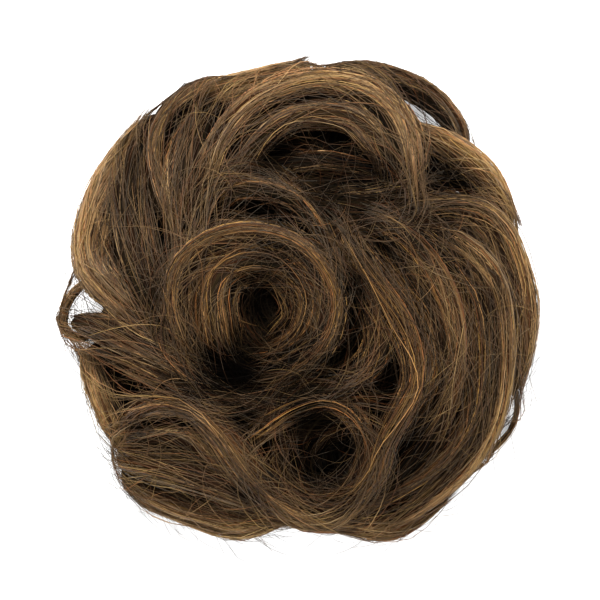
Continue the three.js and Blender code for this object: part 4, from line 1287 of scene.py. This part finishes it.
    def add_underside(self, count: int) -> None:
        """Adds the hair that leaves the weft and runs outwards under the bed, up to the skirt."""
        rng = self.rng
        share = np.linspace(0, 1, 9)[None, :]
        reach = (BED_RADIUS * 0.97 - MOUTH_RADIUS) * share
        radius = MOUTH_RADIUS + reach * rng.uniform(0.75, 1.08, (count, 1))
        turn = rng.uniform(0, 2 * math.pi, (count, 1)) + rng.normal(0.25, 0.18, (count, 1)) * share**1.3
        height = rng.uniform(0.2, 0.75, (count, 1)) * MM + self.near_brim(radius) ** 2 * 4 * MM
        self.add_paths(polar(radius, turn, height), 0.36)

    def add_ceiling(self, count: int) -> None:
        """Adds hair across the hollow's ceiling: straight strands that bow a little."""
        rng = self.rng
        share = np.linspace(-1, 1, 7)[None, :]
        heading = rng.uniform(0, math.pi, (count, 1))
        aside = rng.uniform(-0.6, 0.6, (count, 1)) * HOLLOW_RADIUS
        half = np.sqrt((HOLLOW_RADIUS * 0.86) ** 2 - aside**2)
        x = np.cos(heading) * half * share - np.sin(heading) * aside
        y = np.sin(heading) * half * share + np.cos(heading) * aside
        height = HOLLOW_HEIGHT - rng.uniform(0.3, 1.5, (count, 1)) * MM - 3.5 * MM * np.abs(share) ** 3
        self.add_paths(np.stack([x, y, height], -1) + CENTRE, 0.3)

    def add_paths(self, paths: np.ndarray, tone: float) -> None:
        """Adds strands of the bed along paths, in tones about the one given with the field's painted light
        and shade, all in the matt finish.
        """
        count = len(paths)
        radius = STRAND_RADIUS * self.rng.uniform(0.8, 1.2, count)
        tones = tone + self.rng.normal(0, 0.1, (count, 1)) + self.field.painted_light_and_shade(paths)
        along = np.linspace(0, LOOSE_SHEET, paths.shape[1])[None, :, None]
        lane = self.rng.uniform(0, LANES, (count, 1, 1))
        self.mesh.add_tubes(strand_rings(paths, radius, UP), lane, along, tones[..., None], matt=True)

    def build(self) -> None:
        """Builds the bed as one piece."""
        self.add_puck()
        for form in self.forms:
            LockDresser(form, self.field, self.rng, self.mesh).build()
        self.add_swirl(self.swirl_hairs)
        self.add_underside(self.underside_hairs)
        self.add_ceiling(self.ceiling_hairs)
        finish = self.materials.hair[UMBER, Cast.PLAIN]
        made = self.mesh.to_object("hair_bed_hair", finish, self.materials.under)
        finish_piece(made, "hair_bed")


@dataclass(frozen=True)
class LooseKind:
    """One kind of loose hair: how many, how long, and how far they stray from the flow and off the locks."""

    name: str
    count: int
    lengths: tuple[float, float]
    stray: float
    bend: float
    lift: float
    tone: float
    radius: float
    steps: int
    # shaded is how much of the field's painted light and shade a kind takes
    shaded: float
    over_hollows: bool = False


LOOSE_KINDS = (
    LooseKind("sweeping_hairs", 1150, (26 * MM, 64 * MM), 0.06, 0.012, 0.25 * MM, 0.0, 0.95, 12, 1.0),
    LooseKind("straying_hairs", 480, (18 * MM, 50 * MM), 0.26, 0.05, 0.6 * MM, 0.03, 0.8, 12, 0.9),
    LooseKind("crossing_hairs", 420, (16 * MM, 48 * MM), 0.6, 0.08, 1.1 * MM, 0.08, 0.5, 12, 0.6),
    LooseKind("bridging_hairs", 420, (9 * MM, 26 * MM), 0.7, 0.14, 0.6 * MM, 0.09, 0.52, 10, 0.45, True),
)


@dataclass(frozen=True)
class FlyawayKind:
    """One kind of hair that stands out round the rim; foot is the furthest out that one starts, in rims."""

    name: str
    count: int
    steps: int
    lengths: tuple[float, float]
    foot: float
    radius: float


FLYAWAY_KINDS = (
    FlyawayKind("flyaway_hairs", 430, 9, (6 * MM, 20 * MM), 0.95, 0.55),
    FlyawayKind("rim_fuzz", 1250, 5, (2 * MM, 10 * MM), 1.0, 0.45),
)


@dataclass
class LooseHairs:
    """The hairs that sweep over the locks, cross them, bridge the hollows and stand out round the rim."""

    materials: Materials
    field: FlowField
    rng: np.random.Generator

    def over_locks(self, kind: LooseKind) -> tuple[np.ndarray, np.ndarray]:
        """Paths over the locks of one kind, each with the tone of what it lies on and the field's painted
        light and shade.

        Args:
            kind: The kind of loose hair.

        Returns:
            Points by hair, step and coordinate, and tones by hair and step.
        """
        rng, count = self.rng, kind.count
        radius = BUN_RADIUS * 0.97 * np.sqrt(rng.uniform(0, 1, count))
        angle = rng.uniform(0, 2 * math.pi, count)
        start = np.stack([radius * np.cos(angle), radius * np.sin(angle)], -1)
        if kind.over_hollows:
            near = np.array(PAINTED_SHADE_AND_LIGHT)[rng.integers(0, len(PAINTED_SHADE_AND_LIGHT), count)]
            start = (near[:, :2] + rng.normal(0, 1, (count, 2)) * near[:, 2:3]) * BUN_RADIUS
        start = start + CENTRE[:2]
        way = self.field.read(self.field.ways, start)
        heading = np.arctan2(way[:, 1], way[:, 0]) / 2 + math.pi * rng.integers(0, 2, count)
        share = np.linspace(0, 1, kind.steps)[None, :]
        turned = kind.stray * rng.uniform(1.2, 3.2, (count, 1)) * rng.choice([-1, 1], (count, 1))
        offset = rng.normal(0, kind.stray, (count, 1)) + turned * (share - 0.5)
        bend = rng.normal(0, kind.bend, count)
        step = rng.uniform(*kind.lengths, count) / (kind.steps - 1)
        flat = self.field.follow(start, heading + offset[:, 0], offset, bend, step)
        height = self.field.drape(flat, step)
        height = height + kind.lift * rng.uniform(0.0, 1.0, (count, 1)) * (0.35 + np.sin(math.pi * share))
        points = np.concatenate([flat, height[..., None]], -1)
        tone = self.field.read(self.field.tones, flat) + kind.tone + rng.normal(0, 0.1, (count, 1))
        return points, tone + kind.shaded * self.field.painted_light_and_shade(points, half_in_light(rng, count))

    def flyaway(self, kind: FlyawayKind) -> tuple[np.ndarray, np.ndarray]:
        """Paths round the rim: each leaves the outline at a low angle, curls and ends in the air.

        They lie all the way round, and thicker at the lower left, where the locks' ends fray.

        Args:
            kind: The kind of flyaway hair.

        Returns:
            Points by hair, step and coordinate, and tones by hair and step.
        """
        rng, count = self.rng, kind.count
        angle = rng.uniform(0, 2 * math.pi, count)
        frayed = rng.normal(math.radians(225), math.radians(35), count)
        angle = np.where(rng.uniform(size=count) < 0.35, frayed % (2 * math.pi), angle)
        share = np.linspace(0, 1, kind.steps)
        out = self.field.rim_at(angle) * rng.uniform(0.92, kind.foot, count)
        start = np.stack([np.cos(angle), np.sin(angle)], -1) * out[:, None]
        side = rng.choice([-1, 1], count)
        heading = angle + side * (math.pi / 2 - rng.uniform(-0.1, 0.75, count))
        bend = side * rng.uniform(-0.2, 1.7, count)
        length = rng.uniform(*kind.lengths, count)
        headings = heading[:, None] + bend[:, None] * share[None]
        step = (length / (kind.steps - 1))[:, None, None] * np.stack([np.cos(headings), np.sin(headings)], -1)
        flat = start[:, None] + np.cumsum(step, axis=1) - step
        out = np.linalg.norm(flat, axis=-1, keepdims=True)
        limit = BUN_RADIUS * OUTER_REACH
        flat = np.where(out > limit, flat * limit / out, flat)
        height = rng.uniform(6, 26, (count, 1)) * MM + rng.normal(0, 4, (count, 1)) * MM * share[None]
        points = np.concatenate([flat + CENTRE[:2], np.maximum(height, 0.5 * MM)[..., None]], -1)
        return points, 0.5 + rng.normal(0, 0.12, (count, 1)) + 0 * height

    def build(self) -> None:
        """Builds each kind of loose hair, and the flyaways, as a piece."""
        made = [(kind, *self.over_locks(kind)) for kind in LOOSE_KINDS]
        made += [(kind, *self.flyaway(kind)) for kind in FLYAWAY_KINDS]
        for kind, paths, tone in made:
            mesh = HairMesh()
            thickness = STRAND_RADIUS * kind.radius * self.rng.uniform(0.8, 1.2, kind.count)
            along = np.linspace(0, LOOSE_SHEET, kind.steps)[None, :, None]
            rings = strand_rings(paths, thickness, np.array([0.05, 0.08, 1.0]))
            mesh.add_tubes(rings, self.rng.uniform(0, LANES, (kind.count, 1, 1)), along, tone[..., None])
            piece = mesh.to_object(kind.name, self.materials.loose, self.materials.under)
            finish_piece(piece)


@dataclass
class LoopPieces:
    """The elastic loop and the weft band round it."""

    materials: Materials
    ribs: int = 110
    stitches: int = 64
    thread: float = 0.22 * MM

    def turned(self, inner: float, thickness: float, width: float, rib: float, low: float) -> np.ndarray:
        """A rounded band turned about the loop's axis, ribbed across its width.

        The section is a superellipse, and the ribs are a sine round the loop that lifts it.

        Args:
            inner: The band's inner radius.
            thickness: From its inner to its outer side.
            width: Its height over the floor.
            rib: How far a rib stands out.
            low: The band's lowest point.

        Returns:
            Rings by step round the loop, side and coordinate.
        """
        steps, sides, power = self.ribs * 5, 14, 0.55
        turn = 2 * math.pi * np.arange(steps) / steps
        around = 2 * math.pi * np.arange(sides) / sides
        wide = np.sign(np.cos(around)) * np.abs(np.cos(around)) ** power
        tall = np.sign(np.sin(around)) * np.abs(np.sin(around)) ** power
        lift = rib * (0.5 + 0.5 * np.cos(self.ribs * turn))[:, None]
        radius = inner + thickness / 2 + (thickness / 2 - rib + lift) * wide
        height = low + (width - low) / 2 + ((width - low) / 2 - rib / 2) * tall
        return polar(radius, turn[:, None], height)

    def band(self, name: str, node: str, rings: np.ndarray, material: bpy.types.Material) -> None:
        """Makes a closed band from rings whose last joins the first, as one piece that stands for a node."""
        index = np.arange(rings.size // 3).reshape(rings.shape[:2])
        ahead, beside = np.roll(index, -1, axis=0), np.roll(index, -1, axis=1)
        corners = np.stack([index, ahead, np.roll(ahead, -1, axis=1), beside], -1).ravel()
        mesh = build_mesh(name, rings.reshape(-1, 3), corners, np.full(index.size, 4), (material,))
        finish_piece(place_object(name, mesh), node)

    def add_stitches(self) -> None:
        """Makes the thread under the weft: one zigzag tube round it, as one piece."""
        count, steps, sides = self.stitches, self.stitches * 10, 6
        turn = np.linspace(0, 2 * math.pi * (1 - 1 / steps), steps)
        middle = WEFT_RADIUS + WEFT_THICKNESS / 2
        zigzag = 2 / math.pi * np.arcsin(np.sin(count * turn)) * WEFT_THICKNESS * 0.42
        path = polar(middle + zigzag, turn, 0.26 * MM + 0.1 * MM * np.cos(count * turn) ** 2)
        tangent = unit(np.roll(path, -1, axis=0) - np.roll(path, 1, axis=0))
        side = unit(np.cross(np.broadcast_to(UP, path.shape), tangent))
        around = 2 * math.pi * np.arange(sides) / sides
        offsets = [math.cos(a) * side + math.sin(a) * UP for a in around]
        rings = np.stack([path + self.thread * offset for offset in offsets], axis=1)
        mesh = HairMesh()
        tone = np.full((1, 1, 1), 0.2)
        mesh.add_tubes(rings[None], np.zeros((1, 1, 1)), turn[None, :, None] * middle, tone)
        finish_piece(mesh.to_object("weft_stitches", self.materials.weft))

    def build(self) -> None:
        """Builds the elastic loop, the weft band and its stitches."""
        elastic = self.turned(LOOP_RADIUS, ELASTIC_THICKNESS, ELASTIC_WIDTH, 0.3 * MM, 0.0)
        self.band("elastic_loop_knit", "elastic_loop", elastic, self.materials.elastic)
        weft = self.turned(WEFT_RADIUS, WEFT_THICKNESS, WEFT_WIDTH, 0.12 * MM, CLEARANCE)
        self.band("weft_band_tape", "weft_band", weft, self.materials.weft)
        self.add_stitches()


@dataclass(frozen=True)
class Studio:
    """The floor, the lights and the camera, straight above the hairpiece."""

    view_width: float = 175 * MM
    view_level: float = 22 * MM
    lens: float = 180.0
    sensor: float = 36.0
    floor_half: float = 3.0
    floor_glow: float = 0.4
    backdrop: float = 0.85

    def floor(self) -> None:
        """Lays a pale plain floor at the hairpiece's underside."""
        half = self.floor_half
        mesh = bpy.data.meshes.new("floor")
        corners = [(-half, -half, 0), (half, -half, 0), (half, half, 0), (-half, half, 0)]
        mesh.from_pydata(corners, [], [(0, 1, 2, 3)])
        paint, tools, shader = new_material("pale_floor")
        tools.fill(shader, Base_Color=(0.8, 0.8, 0.8, 1.0), Roughness=0.9)
        tools.fill(shader, Emission_Color=WHITE, Emission_Strength=self.floor_glow)
        mesh.materials.append(paint)
        place_object("floor", mesh)

    def light(self, name: str, place: tuple[float, float, float], size: float, power: float) -> None:
        """Hangs a square soft light that faces the hairpiece."""
        lamp = bpy.data.lights.new(name, "AREA")
        lamp.shape, lamp.size, lamp.energy = "SQUARE", size, power
        made = place_object(name, lamp)
        made.location = place
        made.rotation_euler = (Vector((0.0, 0.0, 0.02)) - Vector(place)).to_track_quat("-Z", "Y").to_euler()

    def build(self) -> None:
        """Sets the floor, the lights, the surroundings and the camera."""
        self.floor()
        self.light("key_light", (-0.2, 0.7, 0.95), 0.45, 30.0)
        self.light("fill_light", (0.6, -0.4, 0.8), 0.6, 7.0)
        world = bpy.data.worlds.new("studio")
        world.use_nodes = True
        background = world.node_tree.nodes["Background"]
        NodeTools(world.node_tree).fill(background, Color=WHITE, Strength=self.backdrop)
        bpy.context.scene.world = world
        camera = bpy.data.cameras.new("camera")
        camera.lens, camera.sensor_width = self.lens, self.sensor
        camera.clip_start, camera.clip_end = 0.01, 20.0
        made = place_object("camera", camera)
        made.location = (CENTRE[0], CENTRE[1], self.view_level + self.view_width * self.lens / self.sensor)
        bpy.context.scene.camera = made
        bpy.context.scene.view_settings.view_transform = "Standard"


def main() -> None:
    """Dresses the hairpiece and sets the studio."""
    rng = np.random.default_rng(SEED)
    materials = Materials.make()
    flow = FlowField()
    bed, locks = BedPiece(materials, flow, rng), LockPieces(materials, flow, rng)
    flow.settle()
    LoopPieces(materials).build()
    bed.build()
    locks.build()
    LooseHairs(materials, flow, rng).build()
    Studio().build()


if __name__ == "__main__":
    logging.basicConfig(level=logging.INFO, format="%(name)s: %(message)s")
    main()
